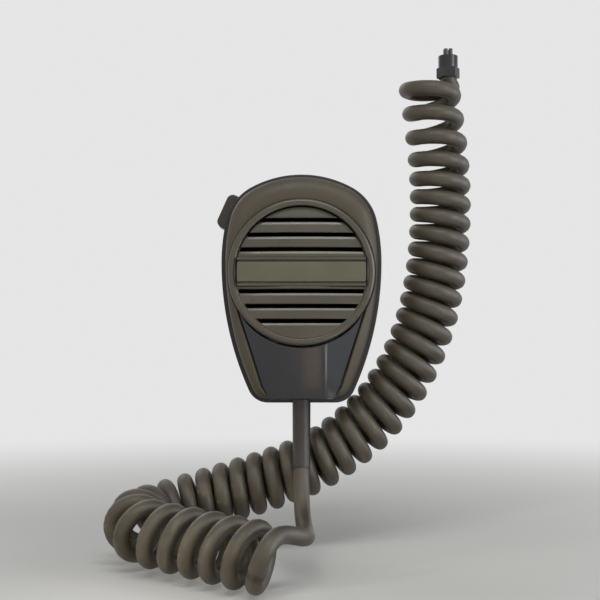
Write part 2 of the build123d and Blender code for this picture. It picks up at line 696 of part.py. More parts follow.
def make_cartridge_cover():
    """Perforated cover that clamps the diaphragm's edge."""
    outer = CAN_BORE - SLIP / 2
    rim_back = DIAPHRAGM_SEAT + DIAPHRAGM_THICKNESS
    plate_back = rim_back + COVER_RIM
    body = tube(0, 0, outer, outer - SPACER_WALL, rim_back, plate_back)
    body += rod(0, 0, outer, plate_back, plate_back + COVER_THICKNESS)
    for ring, count in ((0.0, 1), (4.2, 6), (8.4, 12)):
        for index in range(count):
            turn = 2 * math.pi * index / count
            x = ring * math.cos(turn)
            z = ring * math.sin(turn)
            body -= rod(x, z, COVER_HOLE, plate_back - 0.5, plate_back + COVER_THICKNESS + 0.5)
    return body


def make_ptt_button():
    """Button: rounded pad outside the case, retaining flange and nub inside it."""
    pad = Box(PTT_LENGTH, PTT_WIDTH, PTT_PROUD - FLANGE_FOOT)
    corners = pad.edges().filter_by(Axis.Y).group_by(Axis.Z)[-1]
    pad = fillet(corners, PTT_CORNER)
    pad = fillet(pad.faces().sort_by(Axis.Z)[-1].edges(), 0.8)
    body = PTT_FRAME * Pos(0, 0, (PTT_PROUD + FLANGE_FOOT) / 2) * pad
    length = PTT_LENGTH + 2 * PTT_FLANGE
    width = PTT_WIDTH + 2 * PTT_FLANGE_SIDE
    body += ptt_box(length, width, FLANGE_FOOT, FLANGE_TOP)
    return body + ptt_rod(NUB_RADIUS, NUB_FOOT, FLANGE_FOOT)


def make_ptt_spring():
    """Compression spring between the flange and the bracket's seat."""
    height = FLANGE_FOOT - SEAT_TOP - 2 * SPRING_WIRE - 0.1
    pitch = height / SPRING_TURNS
    helix = Helix(pitch=pitch, height=height, radius=SPRING_RADIUS)
    section = Plane(origin=helix @ 0, z_dir=helix % 0) * Circle(SPRING_WIRE)
    wire = sweep(section, path=helix, is_frenet=True)
    return PTT_FRAME * Pos(0, 0, SEAT_TOP + SPRING_WIRE + 0.05) * wire


def make_switch_plunger():
    """Pin that the nub pushes into the switch."""
    return ptt_rod(PLUNGER_RADIUS, PLUNGER_FOOT, NUB_FOOT - PLUNGER_GAP)


def make_switch_body():
    """Snap switch with the plunger's bore."""
    body = ptt_box(SWITCH_LENGTH, SWITCH_WIDTH, SWITCH_FOOT, SWITCH_TOP)
    return body - ptt_rod(PLUNGER_RADIUS + SLIP / 2, PLUNGER_FOOT - PTT_TRAVEL - 0.4, SWITCH_TOP + 1)


def make_switch_terminals():
    """Three solder tabs below the switch."""
    tab = Box(TAB_THICKNESS, TAB_WIDTH, TAB_LENGTH)
    middle = (TAB_FOOT + SWITCH_FOOT) / 2
    return Compound(children=[PTT_FRAME * Pos(step * TAB_SPREAD, 0, middle) * tab for step in (-1, 0, 1)])


def make_switch_bracket():
    """Angle that carries the switch and the spring's seat."""
    base_low = SWITCH_FOOT - 0.6
    shift = SWITCH_WIDTH / 2 + BRACKET_THICKNESS / 2
    body = ptt_box(BRACKET_LENGTH, BRACKET_THICKNESS, base_low, SEAT_TOP, shift)
    body += ptt_box(SWITCH_LENGTH + 1, SWITCH_WIDTH + 0.6, SWITCH_TOP, SEAT_TOP, 0.3)
    body -= ptt_rod(PLUNGER_RADIUS + 0.5, SWITCH_TOP - 1, SEAT_TOP + 1)
    foot = PTT_MIDDLE - BRACKET_TOP
    for place in bracket_screw_places():
        body -= rod(place.X, place.Y, SMALL_SCREW_RADIUS + SLIP, foot - 1, foot + BRACKET_THICKNESS + 1)
    return body


def small_screw(x, z, seat, reach):
    """Pan-headed screw from the front, its head on the seat depth."""
    body = rod(x, z, SMALL_HEAD_RADIUS, seat, seat + SMALL_HEAD)
    body += rod(x, z, SMALL_SCREW_RADIUS, seat - reach, seat)
    slot = Pos(x, z) * Rectangle(2 * SMALL_HEAD_RADIUS - 1.2, 0.5)
    return body - slab(slot, seat + SMALL_HEAD / 2, seat + SMALL_HEAD + 1)


def make_bracket_screws():
    """Screws of the switch bracket."""
    seat = PTT_MIDDLE - SWITCH_WIDTH / 2
    screws = [small_screw(p.X, p.Y, seat, BRACKET_SCREW_REACH) for p in bracket_screw_places()]
    return Compound(children=screws)


def make_board_screws():
    """Screws of the circuit board."""
    screws = [small_screw(x, z, BOARD_FRONT, BOARD_SCREW_REACH) for x, z in BOARD_SCREWS]
    return Compound(children=screws)


def make_clamp_screws():
    """Screws of the cord clamp."""
    seat = SADDLE_TOP + CLAMP_THICKNESS
    places = (CLAMP_SCREW_SPREAD, -CLAMP_SCREW_SPREAD)
    return Compound(children=[small_screw(x, -SADDLE_DROP, seat, CLAMP_SCREW_REACH) for x in places])


def make_case_screws():
    """Three screws that hold the shells together, from behind."""
    seat = HANG_GAP + SCREW_SINK + SCREW_HEAD
    screws = []
    for x, z in CASE_SCREWS:
        body = rod(x, z, SCREW_HEAD_RADIUS, seat - SCREW_HEAD, seat)
        body += rod(x, z, SCREW_RADIUS, seat, seat + SCREW_REACH)
        for turn in (0, 90):
            cross = Pos(x, z) * Rot(0, 0, turn) * Rectangle(SCREW_CROSS, SCREW_CROSS_WIDTH)
            body -= slab(cross, seat - SCREW_HEAD - 1, seat - SCREW_HEAD / 2)
        screws.append(body)
    return Compound(children=screws)


def make_circuit_board():
    """Board on its two bosses."""
    board = Pos(0, -BOARD_DROP) * RectangleRounded(BOARD_LENGTH, BOARD_HEIGHT, 1.5)
    body = slab(board, BOARD_BACK, BOARD_FRONT)
    for x, z in BOARD_SCREWS:
        body -= rod(x, z, SMALL_SCREW_RADIUS + SLIP, BOARD_BACK - 1, BOARD_FRONT + 1)
    return body


def make_board_capacitors():
    """Two upright capacitors."""
    cans = []
    for side in (1, -1):
        x = side * (CAPACITOR_RADIUS + 0.6)
        z = CAPACITOR_RADIUS + 1.2 - BOARD_DROP
        cans.append(rod(x, z, CAPACITOR_RADIUS, BOARD_FRONT, BOARD_FRONT + CAPACITOR_HEIGHT))
    return Compound(children=cans)


def make_board_transistor():
    """Flat-sided transistor."""
    x = 3.5
    z = -BOARD_DROP - 3.6
    body = rod(x, z, TRANSISTOR_RADIUS, BOARD_FRONT, BOARD_FRONT + TRANSISTOR_HEIGHT)
    flat = Pos(x, z - TRANSISTOR_RADIUS) * Rectangle(3 * TRANSISTOR_RADIUS, TRANSISTOR_RADIUS * 0.8)
    return body - slab(flat, BOARD_FRONT - 1, BOARD_FRONT + TRANSISTOR_HEIGHT + 1)


def make_board_resistors():
    """Two resistors that lie on the board."""
    bodies = []
    for row in (0, 1):
        z = -BOARD_DROP - 2.6 - 2.8 * row
        turned = Rot(0, 90, 0) * Cylinder(RESISTOR_RADIUS, RESISTOR_LENGTH)
        bodies.append(Pos(-3.4, -BOARD_FRONT - RESISTOR_RADIUS, z) * turned)
    return Compound(children=bodies)


def make_hang_button():
    """Mushroom button that drops into the hanger's slot."""
    base = HANG_GAP - HANG_BOSS_RISE
    head_front = POCKET_DEPTH - SHEET - HANG_HEAD_GAP
    body = rod(0, 0, HANG_NECK_RADIUS, head_front, base)
    body += rod(0, 0, HANG_HEAD_RADIUS, head_front - HANG_HEAD_THICKNESS, head_front)
    body -= rod(0, 0, SCREW_RADIUS + SLIP, 0, base + 1)
    return body - rod(0, 0, SCREW_HEAD_RADIUS - 0.5, 0, head_front - HANG_HEAD_THICKNESS + 1.2)


def make_hang_button_screw():
    """Screw through the hang button into the nut."""
    seat = POCKET_DEPTH - SHEET - HANG_HEAD_GAP - HANG_HEAD_THICKNESS + 1.2
    body = rod(0, 0, SCREW_HEAD_RADIUS - 0.6, seat - 1.1, seat)
    body += rod(0, 0, SCREW_RADIUS, seat, REAR_FLOOR + 2.9)
    slot = Rectangle(3.2, 0.7)
    return body - slab(slot, seat - 2, seat - 0.6)


def make_hang_button_nut():
    """Hexagon nut inside the rear shell."""
    body = slab(RegularPolygon(3.1, 6), REAR_FLOOR, REAR_FLOOR + 2.4)
    return body - rod(0, 0, SCREW_RADIUS + SLIP / 2, REAR_FLOOR - 1, REAR_FLOOR + 3)


def make_hanger():
    """Formed steel hanger: ears for two screws and a raised pocket with a slot open at the top."""
    plate = RectangleRounded(HANGER_WIDTH, HANGER_HEIGHT, HANGER_CORNER)
    body = slab(plate, 0, SHEET)
    middle = (POCKET_TOP - POCKET_BOTTOM) / 2
    height = POCKET_TOP + POCKET_BOTTOM
    body += slab(Pos(0, middle) * Rectangle(2 * POCKET_HALF, height), 0, POCKET_DEPTH)
    hollow = Pos(0, middle + SHEET) * Rectangle(2 * (POCKET_HALF - SHEET), height)
    body -= slab(hollow, SHEET, POCKET_DEPTH - SHEET)
    half = HANG_NECK_RADIUS + HANG_SLOT_GAP
    slot = Circle(half) + Pos(0, POCKET_TOP) * Rectangle(2 * half, 2 * POCKET_TOP)
    mouth = Polygon(
        (half, POCKET_TOP - HANG_MOUTH_DROP),
        (half + HANG_MOUTH, POCKET_TOP + 0.1),
        (-half - HANG_MOUTH, POCKET_TOP + 0.1),
        (-half, POCKET_TOP - HANG_MOUTH_DROP),
        align=None,
    )
    body -= slab(slot + mouth, POCKET_DEPTH - SHEET - 0.1, POCKET_DEPTH + 1)
    for side in (1, -1):
        body -= rod(side * HANGER_HOLE_SPACING / 2, 0, HANGER_HOLE_RADIUS, -1, SHEET + 1)
    return body


def relief_curve():
    """Centre line of the strain relief below the case: an arc that leans away from the wall."""
    lean = 2 * math.atan2(RELIEF_LEAN, RELIEF_DROP)
    radius = RELIEF_DROP / math.sin(lean)
    middle = lean / 2
    start = Vector(0, -PARTING, CASE_FOOT)
    half = start + Vector(0, -radius * (1 - math.cos(middle)), -radius * math.sin(middle))
    end = start + Vector(0, -RELIEF_LEAN, -RELIEF_DROP)
    return ThreePointArc(start, half, end)


RELIEF_CURVE = relief_curve()
RELIEF_TIP = RELIEF_CURVE @ 1


def make_strain_relief():
    """Relief moulded round the cord, with the flange that the shells trap."""
    stations = 5
    sections = []
    for step in range(stations + 1):
        share = step / stations
        radius = RELIEF_ROOT_RADIUS + (RELIEF_TIP_RADIUS - RELIEF_ROOT_RADIUS) * share
        plane = Plane(origin=RELIEF_CURVE @ share, x_dir=(1, 0, 0), z_dir=RELIEF_CURVE % share)
        sections.append(plane * Circle(radius))
    body = loft(sections)
    neck = RELIEF_FLANGE_TOP - CASE_FOOT
    middle = (RELIEF_FLANGE_FOOT + RELIEF_FLANGE_TOP) / 2
    body += Pos(0, -PARTING, CASE_FOOT + neck / 2) * Cylinder(RELIEF_ROOT_RADIUS, neck)
    body += Pos(0, -PARTING, middle) * Cylinder(RELIEF_FLANGE_RADIUS, RELIEF_FLANGE)
    bore = CORD_RADIUS + RELIEF_GAP
    start = Plane(origin=(0, -PARTING, CASE_FOOT), z_dir=(0, 0, -1))
    body -= sweep(start * Circle(bore), path=RELIEF_CURVE)
    return body - Pos(0, -PARTING, CASE_FOOT + neck) * Cylinder(bore, 2 * neck)


def make_cord_inlet():
    """Cord from the jacket's cut end inside the case to the relief's tip."""
    start = Plane(origin=(0, -PARTING, CASE_FOOT), z_dir=(0, 0, -1))
    body = sweep(start * Circle(CORD_RADIUS), path=RELIEF_CURVE)
    height = MIC_BOTTOM - JACKET_END_DROP
    return body + Pos(0, -PARTING, CASE_FOOT + height / 2) * Cylinder(CORD_RADIUS, height)


def make_cord_clamp():
    """Bar across the saddle that grips the cord."""
    outline = Pos(0, -SADDLE_DROP) * RectangleRounded(2 * SADDLE_HALF, SADDLE_WIDTH, 1)
    body = slab(outline, SADDLE_TOP, SADDLE_TOP + CLAMP_THICKNESS)
    for side in (1, -1):
        x = side * CLAMP_SCREW_SPREAD
        body -= rod(x, -SADDLE_DROP, SMALL_SCREW_RADIUS + SLIP, SADDLE_TOP - 1, SADDLE_TOP + 3)
    return body


def route_radii(points):
    """Largest arcs that a route's runs allow: 0.45 of the shorter run over the tangent of half the turn."""
    places = [Vector(*point) for point in points]
    radii = []
    for before, here, after in zip(places, places[1:], places[2:]):
        turn = (here - before).get_angle(after - here)
        shorter = min((here - before).length, (after - here).length)
        radii.append(0.45 * shorter / math.tan(math.radians(turn / 2)))
    return radii


def route_tube(points, radius, name):
    """Round tube along straight runs joined by tangent arcs."""
    radii = route_radii(points)
    print(name, "radii", [round(value, 1) for value in radii])
    path = FilletPolyline(*points, radius=radii)
    section = Plane(origin=path @ 0, z_dir=path % 0) * Circle(radius)
    body = sweep(section, path=path)
    share = body.volume / (math.pi * radius**2 * path.length)
    print(name, "length", round(path.length, 1), "volume share", round(share, 4))
    return body


def make_cord_lead():
    """Cord from the relief's tip to the coil's end face."""
    below_tip = RELIEF_TIP + (RELIEF_CURVE % 1) * LEAD_RUN
    body = route_tube([tuple(RELIEF_TIP), tuple(below_tip)] + LEAD_ROUTE, CORD_RADIUS, "cord_lead")
    first, second = (Vector(*point) for point in COIL_ROUTE[:2])
    coil_side = Plane(origin=first, z_dir=second - first) * Pos(0, 0, COIL_RADIUS)
    return body - coil_side * Cylinder(COIL_RADIUS + CORD_RADIUS, 2 * COIL_RADIUS)


def make_cord_coil():
    """Coiled cord as one tube of the coil's outer size."""
    return route_tube(COIL_ROUTE, COIL_RADIUS, "cord_coil")


def make_cord_tail():
    """Cord from the coil's upper end into the ferrule."""
    end = Vector(*COIL_ROUTE[-1])
    before = Vector(*COIL_ROUTE[-2])
    foot = end.Z - COIL_RADIUS
    top = FERRULE_HEIGHT + FERRULE_SKIRT + FERRULE_SHANK
    body = Pos(FERRULE_X, -FERRULE_DEPTH, (foot + top) / 2) * Cylinder(CORD_RADIUS, top - foot)
    return split(body, bisect_by=Plane(origin=end, z_dir=end - before), keep=Keep.TOP)


def make_cord_ferrule():
    """Nickel ferrule: hexagonal skirt below the panel and a round shank through it."""
    place = Pos(FERRULE_X, -FERRULE_DEPTH, FERRULE_HEIGHT)
    skirt = extrude(RegularPolygon(FERRULE_SKIRT_RADIUS, 6), FERRULE_SKIRT)
    shank = Pos(0, 0, FERRULE_SKIRT + FERRULE_SHANK / 2) * Cylinder(FERRULE_SHANK_RADIUS, FERRULE_SHANK)
    reach = FERRULE_SKIRT + FERRULE_SHANK
    bore = Pos(0, 0, reach / 2) * Cylinder(CORD_RADIUS + FERRULE_BORE_GAP, reach + 2)
    return place * (skirt + shank - bore)


def make_conductor_ends():
    """Ends of the cord's conductors above the ferrule."""
    top = FERRULE_HEIGHT + FERRULE_SKIRT + FERRULE_SHANK
    ends = []
    for index in range(4):
        turn = math.radians(45 + 90 * index)
        x = FERRULE_X + CONDUCTOR_SPREAD * math.cos(turn)
        y = -FERRULE_DEPTH + CONDUCTOR_SPREAD * math.sin(turn)
        ends.append(Pos(x, y, top + CONDUCTOR_REACH / 2) * Cylinder(CONDUCTOR_RADIUS, CONDUCTOR_REACH))
    return Compound(children=ends)


def wire(points, bend):
    """Insulated wire along a short route inside the case."""
    path = FilletPolyline(*points, radius=bend)
    section = Plane(origin=path @ 0, z_dir=path % 0) * Circle(WIRE_RADIUS)
    return sweep(section, path=path)


def make_board_wire(side):
    """Wire from the wall side of the cord's end to the board."""
    x = side * WIRE_SPREAD
    y = WIRE_SPREAD - PARTING
    start = -JACKET_END_DROP
    edge = -BOARD_DROP - BOARD_HEIGHT / 2 + BOARD_PAD_INSET
    pad = side * BOARD_PAD_SPREAD
    above = (pad, (y - BOARD_FRONT) / 2, edge)
    return wire([(x, y, start), (x, y, start + 3.5), above, (pad, -BOARD_FRONT, edge)], 1.5)


def make_switch_wire(side, route):
    """Wire from the front of the cord's end, round the cartridge and outwards to one of the switch's tabs."""
    x = side * WIRE_SPREAD
    y = -PARTING - WIRE_SPREAD
    start = -JACKET_END_DROP
    along = side * TAB_SPREAD
    before = ptt_place(along, TAB_FOOT - 4.0)
    tab = ptt_place(along, TAB_FOOT)
    ends = [(before.X, -PTT_MIDDLE, before.Y), (tab.X, -PTT_MIDDLE, tab.Y)]
    return wire([(x, y, start), (x, y, start + 3.0 + side)] + route + ends, 1.8)


def make_cartridge_wires():
    """Pair from the cartridge's pins to the board."""
    wires = []
    for side in (1, -1):
        x = side * TERMINAL_SPREAD
        pin = CAN_BACK - TERMINAL_LENGTH
        wires.append(
            wire(
                [
                    (x, -pin, 0),
                    (x, -pin + 1.6, 0),
                    (x + side * 3.5, -BOARD_FRONT - 2.5, -BOARD_DROP + 5.5),
                    (x + side * 3.5, -BOARD_FRONT, -BOARD_DROP + 5.5),
                ],
                0.7,
            )
        )
    return Compound(children=wires)


parts = {
    "hanger": make_hanger(),
    "rear_case": make_rear_case(),
    "front_case": make_front_case(),
    "grille_cap": make_grille_cap(),
    "nameplate": make_nameplate(),
    "chin_panel": make_chin_panel(),
    "grille_cloth": make_grille_cloth(),
    "foam_pad": make_foam_pad(),
    "baffle": make_baffle(),
    "cartridge_boot": make_cartridge_boot(),
    "cartridge_case": make_cartridge_case(),
    "cartridge_cover": make_cartridge_cover(),
    "cartridge_spacer": make_cartridge_spacer(),
    "cartridge_terminals": make_cartridge_terminals(),
    "diaphragm": make_diaphragm(),
    "voice_coil": make_voice_coil(),
    "magnet": make_magnet(),
    "magnet_yoke": make_yoke(),
    "pole_piece": make_pole_piece(),
    "cartridge_wires": make_cartridge_wires(),
    "ptt_button": make_ptt_button(),
    "ptt_spring": make_ptt_spring(),
    "switch_plunger": make_switch_plunger(),
    "switch_body": make_switch_body(),
    "switch_terminals": make_switch_terminals(),
    "switch_bracket": make_switch_bracket(),
    "bracket_screws": make_bracket_screws(),
    "circuit_board": make_circuit_board(),
    "board_capacitors": make_board_capacitors(),
    "board_resistors": make_board_resistors(),
    "board_transistor": make_board_transistor(),
    "board_screws": make_board_screws(),
    "case_screws": make_case_screws(),
    "hang_button": make_hang_button(),
    "hang_button_screw": make_hang_button_screw(),
    "hang_button_nut": make_hang_button_nut(),
    "strain_relief": make_strain_relief(),
    "cord_inlet": make_cord_inlet(),
    "cord_clamp": make_cord_clamp(),
    "clamp_screws": make_clamp_screws(),
    "lead_wire_red": make_board_wire(1),
    "lead_wire_white": make_board_wire(-1),
    "lead_wire_black": make_switch_wire(-1, OUTER_WIRE_ROUTE),
    "lead_wire_green": make_switch_wire(1, INNER_WIRE_ROUTE),
    "cord_lead": make_cord_lead(),
    "cord_coil": make_cord_coil(),
    "cord_tail": make_cord_tail(),
    "cord_ferrule": make_cord_ferrule(),
    "conductor_ends": make_conductor_ends(),
}

for name, part in parts.items():
    export_step(part, f"parts/{name}.step")
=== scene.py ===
"""Palm-held paging microphone on its hanger, with a coiled cord: the looks of every piece.

Metres, +Z up. The microphone faces -Y, and a depth is a distance in front of the wall plane Y = 0. The file
is laid out as an add-on: property groups hold the sizes and colours, and each operator makes one group of
pieces.
"""

import math

import bmesh
import bpy
import numpy as np
from bpy.props import FloatProperty, FloatVectorProperty, IntProperty, PointerProperty
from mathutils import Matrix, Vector


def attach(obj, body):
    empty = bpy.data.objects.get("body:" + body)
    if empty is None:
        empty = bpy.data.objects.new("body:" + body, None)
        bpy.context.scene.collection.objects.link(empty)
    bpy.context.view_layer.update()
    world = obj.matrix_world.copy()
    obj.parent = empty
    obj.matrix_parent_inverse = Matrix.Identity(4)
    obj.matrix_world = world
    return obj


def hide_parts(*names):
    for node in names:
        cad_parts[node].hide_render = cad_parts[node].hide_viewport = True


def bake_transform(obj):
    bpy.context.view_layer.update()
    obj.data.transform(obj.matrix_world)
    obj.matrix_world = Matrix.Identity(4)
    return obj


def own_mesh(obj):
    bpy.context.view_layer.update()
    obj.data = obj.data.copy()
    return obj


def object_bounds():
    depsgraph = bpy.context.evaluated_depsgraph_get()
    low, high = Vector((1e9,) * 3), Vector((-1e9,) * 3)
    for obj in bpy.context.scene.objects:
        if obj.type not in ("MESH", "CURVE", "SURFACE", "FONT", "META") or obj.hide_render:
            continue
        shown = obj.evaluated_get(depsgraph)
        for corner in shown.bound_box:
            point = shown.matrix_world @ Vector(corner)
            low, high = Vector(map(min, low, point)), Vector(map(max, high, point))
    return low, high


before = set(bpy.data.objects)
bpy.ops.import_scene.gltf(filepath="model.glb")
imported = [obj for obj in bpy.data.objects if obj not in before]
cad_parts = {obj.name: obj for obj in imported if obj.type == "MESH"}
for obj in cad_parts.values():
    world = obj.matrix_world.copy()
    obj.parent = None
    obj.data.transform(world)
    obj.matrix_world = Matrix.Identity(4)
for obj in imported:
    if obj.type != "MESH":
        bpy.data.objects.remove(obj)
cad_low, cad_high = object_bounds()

bl_info = {
    "name": "Paging Microphone",
    "version": (1, 0, 0),
    "blender": (4, 5, 0),
    "location": "View3D > Sidebar > Paging Microphone",
    "description": "Builds a palm-held paging microphone with its coiled cord and hanger",
    "category": "Add Mesh",
}

# Control points of the cord between the strain relief and the coil
LEAD_ROUTE = [
    (0.0, -0.0306, -0.077),
    (0.0, -0.03505, -0.08922),
    (0.001, -0.046, -0.0962),
    (0.0018, -0.059, -0.0972),
    (0.002, -0.073, -0.0952),
    (0.001, -0.0825, -0.0938),
]

# Control points of the coil's axis, from the lead to the ferrule
COIL_ROUTE = [
    (-0.0091, -0.0918, -0.0995),
    (-0.02, -0.083, -0.0992),
    (-0.033, -0.072, -0.0986),
    (-0.0457, -0.0625, -0.0978),
    (-0.0595, -0.0522, -0.097),
    (-0.0638, -0.038, -0.0958),
    (-0.0602, -0.024, -0.0958),
    (-0.0495, -0.017, -0.0935),
    (-0.032, -0.014, -0.0885),
    (-0.012, -0.0132, -0.0825),
    (0.009, -0.013, -0.0745),
    (0.033, -0.0134, -0.055),
    (0.049, -0.014, -0.027),
    (0.056, -0.015, 0.005),
    (0.0572, -0.0154, 0.0395),
    (0.0534, -0.015, 0.0705),
    (0.0526, -0.015, 0.0785),
]

# Control points of the cord from the last turn into the ferrule
TAIL_ROUTE = [
    (0.0478, -0.0065, 0.077),
    (0.0545, -0.0052, 0.0774),
    (0.0612, -0.0078, 0.0775),
    (0.0627, -0.0132, 0.0778),
    (0.0606, -0.015, 0.08),
    (0.0603, -0.015, 0.084),
    (0.0603, -0.015, 0.09),
]

# Spacing of the coil's turns at shares of its length
TURN_SPACING = {
    0.0: 0.01,
    0.18: 0.0103,
    0.28: 0.0092,
    0.36: 0.0072,
    0.45: 0.00735,
    0.6: 0.0077,
    0.7: 0.00755,
    0.74: 0.0072,
    0.88: 0.0076,
    0.915: 0.0091,
    0.95: 0.0101,
    1.0: 0.0098,
}

# How far the turns near the lead lean along the axis, for each metre towards the viewer and upwards
TURN_LEAN = (0.0, 0.22, -0.15)

# Shares of the coil's length between which that lean fades out
LEAN_START, LEAN_END = 0.14, 0.3

# How much more the first turn leans, so that its two halves stand one behind the other, and up to which share
FIRST_TURN_LEAN = (0.0, 0.4, -0.08)
FIRST_TURN_SHARE = 0.05

# How much smaller the first turn starts, and over which part of a turn it grows
FIRST_TURN_TUCK, TUCK_TURNS = 0.0013, 0.4

# Length of the straight run at either end of the coil
RUN_OUT = 0.004

# Directions that the first point of each ring lies nearest to: round the coil's axis, the coil and the lead
COIL_ASIDE, CORD_ASIDE, LEAD_ASIDE = (-0.5, -0.6, 0.62), (0.35, -0.5, 0.79), (1.0, 0.0, 0.2)

# Angle of the talk button above the horizontal, in degrees, the depth of its middle, and its travel
TALK_ANGLE, TALK_DEPTH, TALK_TRAVEL = 24.0, 0.018, 0.002

# Opening for the talk button: length and width, and how far its cut reaches in and out
OPENING_SIZE = (0.0149, 0.0097)
OPENING_REACH = (-0.007, 0.004)

# Return spring: radius, radius of its wire, turns, heights of its two seats, and slip at either end
SPRING_RADIUS, SPRING_WIRE, SPRING_TURNS = 0.0029, 0.00025, 5
SPRING_SEAT, SPRING_TOP, SPRING_SLIP = -0.011264, -0.006364, 0.00005

# Holes for the case screws in the rear shell: places across and up, radius, depth, and overshoot of the cut
SCREW_PLACES = ((0.0, 0.0307), (0.013, -0.038), (-0.013, -0.038))
SCREW_RADIUS, SCREW_SINK, SCREW_PAST = 0.0028, 0.0025, 0.001

# Farthest place of the band's face from its outer foot, measured inwards
BAND_REACH = 0.014

# Distances below which points of a mesh are welded and its faces count as slivers
WELD, SLIVER = 2e-6, 1e-7

# Angle between faces, in degrees, above which their edge is shaded as a hard one
SHARP_ANGLE = 38.0


def number(name, default, description, unit="NONE", precision=3):
    """Property for a number."""
    return FloatProperty(name=name, description=description, default=default, unit=unit, precision=precision)


def length(name, default, description):
    """Property for a length in metres."""
    return number(name, default, description, "LENGTH", 5)


def whole(name, default, description):
    """Property for a whole number."""
    return IntProperty(name=name, description=description, default=default)


def power(name, default, description):
    """Property for a lamp's power in watts."""
    return number(name, default, description, "POWER")


def triple(name, default, description, subtype="XYZ"):
    """Property for a place or a direction."""
    return FloatVectorProperty(name=name, description=description, default=default, subtype=subtype)


def colour(name, default, description):
    """Property for a colour, written as it is seen on a screen."""
    return triple(name, default, description, "COLOR_GAMMA")


class CaseSizes(bpy.types.PropertyGroup):
    """Sizes of the two shells of the case."""

    width: length("Width", 0.0638, "Widest measure across the case")
    top: length("Top", 0.0399, "Height of the crown above the grille's centre")
    bottom: length("Bottom", 0.051, "Depth of the foot below the grille's centre")
    widest_height: length("Widest height", 0.005, "Height at which the case is widest")
    crown_radius: length("Crown radius", 0.042, "Radius of the arc over the top")
    shoulder_radius: length("Shoulder radius", 0.02, "Radius of the shoulders")
    upper_flank_radius: length("Upper flank radius", 0.075, "Radius of the sides above the widest place")
    lower_flank_radius: length("Lower flank radius", 0.124, "Radius of the sides below the widest place")
    corner_radius: length("Corner radius", 0.0082, "Radius of the two corners at the foot")
    back: length("Back", 0.008, "Depth of the rear shell's back face")
    parting: length("Parting", 0.026, "Depth of the joint between the shells")
    front: length("Front", 0.0364, "Depth of the front shell's face")
    wall: length("Wall", 0.002, "Thickness of the shells")
    rim_step: length("Rim step", 0.0016, "How far the front shell stands inside the rear shell's rim")
    draft: length("Draft", 0.0005, "How much a shell narrows over its straight side")
    rear_across: length("Rear rounding across", 0.0064, "Width of the rear shell's rounding")
    rear_along: length("Rear rounding along", 0.006, "Depth of the rear shell's rounding")
    band_across: length("Band rounding across", 0.0066, "Width of the front band's rounding")
    band_along: length("Band rounding along", 0.0056, "Depth of the front band's rounding")
    edge: length("Edge", 0.0004, "Radius of the band's inner edge")


class CapSizes(bpy.types.PropertyGroup):
    """Sizes of the slotted cap and its plate."""

    radius: length("Radius", 0.0284, "Radius of the cap")
    gap: length("Gap", 0.0003, "Gap round the cap")
    slot_radius: length("Slot radius", 0.0252, "Radius at which the slots end")
    disc_radius: length("Disc radius", 0.0257, "Radius of the sunk slatted disc")
    seat: length("Seat", 0.0342, "Depth of the ledge that carries the cap")
    foot: length("Foot", 0.0354, "Depth of the cap's lower edge")
    cloth: length("Cloth", 0.0372, "Depth of the cloth behind the slots")
    disc_edge: length("Disc edge", 0.0387, "Depth of the disc at its edge")
    rise: length("Rise", 0.0022, "How far the disc domes up at its middle")
    tilt: number("Tilt", 0.045, "How much the disc falls back upwards")
    bevel: length("Bevel", 0.0012, "Height of the bevel along a slat's upper edge")
    bevel_slope: number("Bevel slope", 0.35, "How steep that bevel is")
    rim: length("Rim", 0.0398, "Depth of the rim round the disc")
    groove: length("Groove", 0.0009, "Depth of the groove along the disc's upper edge")
    slot_first: length("First slot", 0.0081, "Distance of the first slots from the middle of the rows")
    slot_pitch: length("Slot pitch", 0.00575, "Spacing of the slots")
    slot_height: length("Slot height", 0.0015, "Height of a slot")
    slot_shift: length("Slot shift", 0.0006, "How far the rows stand above the grille's centre")
    plate_length: length("Plate length", 0.0494, "Length of the bare plate")
    plate_height: length("Plate height", 0.0076, "Height of the bare plate")
    plate_shift: length("Plate shift", -0.0001, "Height of the plate above the grille's centre")
    plate_gap: length("Plate gap", 0.00072, "Gap round the plate")
    plate_back: length("Plate back", 0.0388, "Depth of the recess that holds the plate")
    plate_front: length("Plate front", 0.0413, "Depth of the plate's face")
    frame_border: length("Frame border", 0.0017, "Width of the frame above and below the plate")
    frame_front: length("Frame front", 0.0411, "Depth of the frame's face")


class ChinSizes(bpy.types.PropertyGroup):
    """Sizes of the glossy shield below the cap."""

    top_half: length("Top half width", 0.0244, "Half of the shield's width at its top corners")
    top_drop: length("Top drop", 0.0152, "Distance of the top corners below the grille's centre")
    side_half: length("Side half width", 0.0154, "Half of the width where the sides bend")
    side_drop: length("Side drop", 0.0445, "Distance of that bend below the grille's centre")
    foot_half: length("Foot half width", 0.0124, "Half of the width at the foot")
    gap: length("Gap", 0.00035, "Gap round the shield")
    recess: length("Recess", 0.0334, "Depth of the floor that carries the shield")
    front: length("Front", 0.0376, "Depth of the shield's face below the cap")
    facet_half: length("Facet half width", 0.0098, "Half of the width of the middle facet")
    slope: number("Slope", 0.156, "How much the face falls back downwards")
    facet_slope: number("Facet slope", 0.26, "How much the side facets fall back")
    crease: length("Crease", 0.0005, "How softly the facets meet")
    edge: length("Edge", 0.0005, "Radius of the shield's edge")


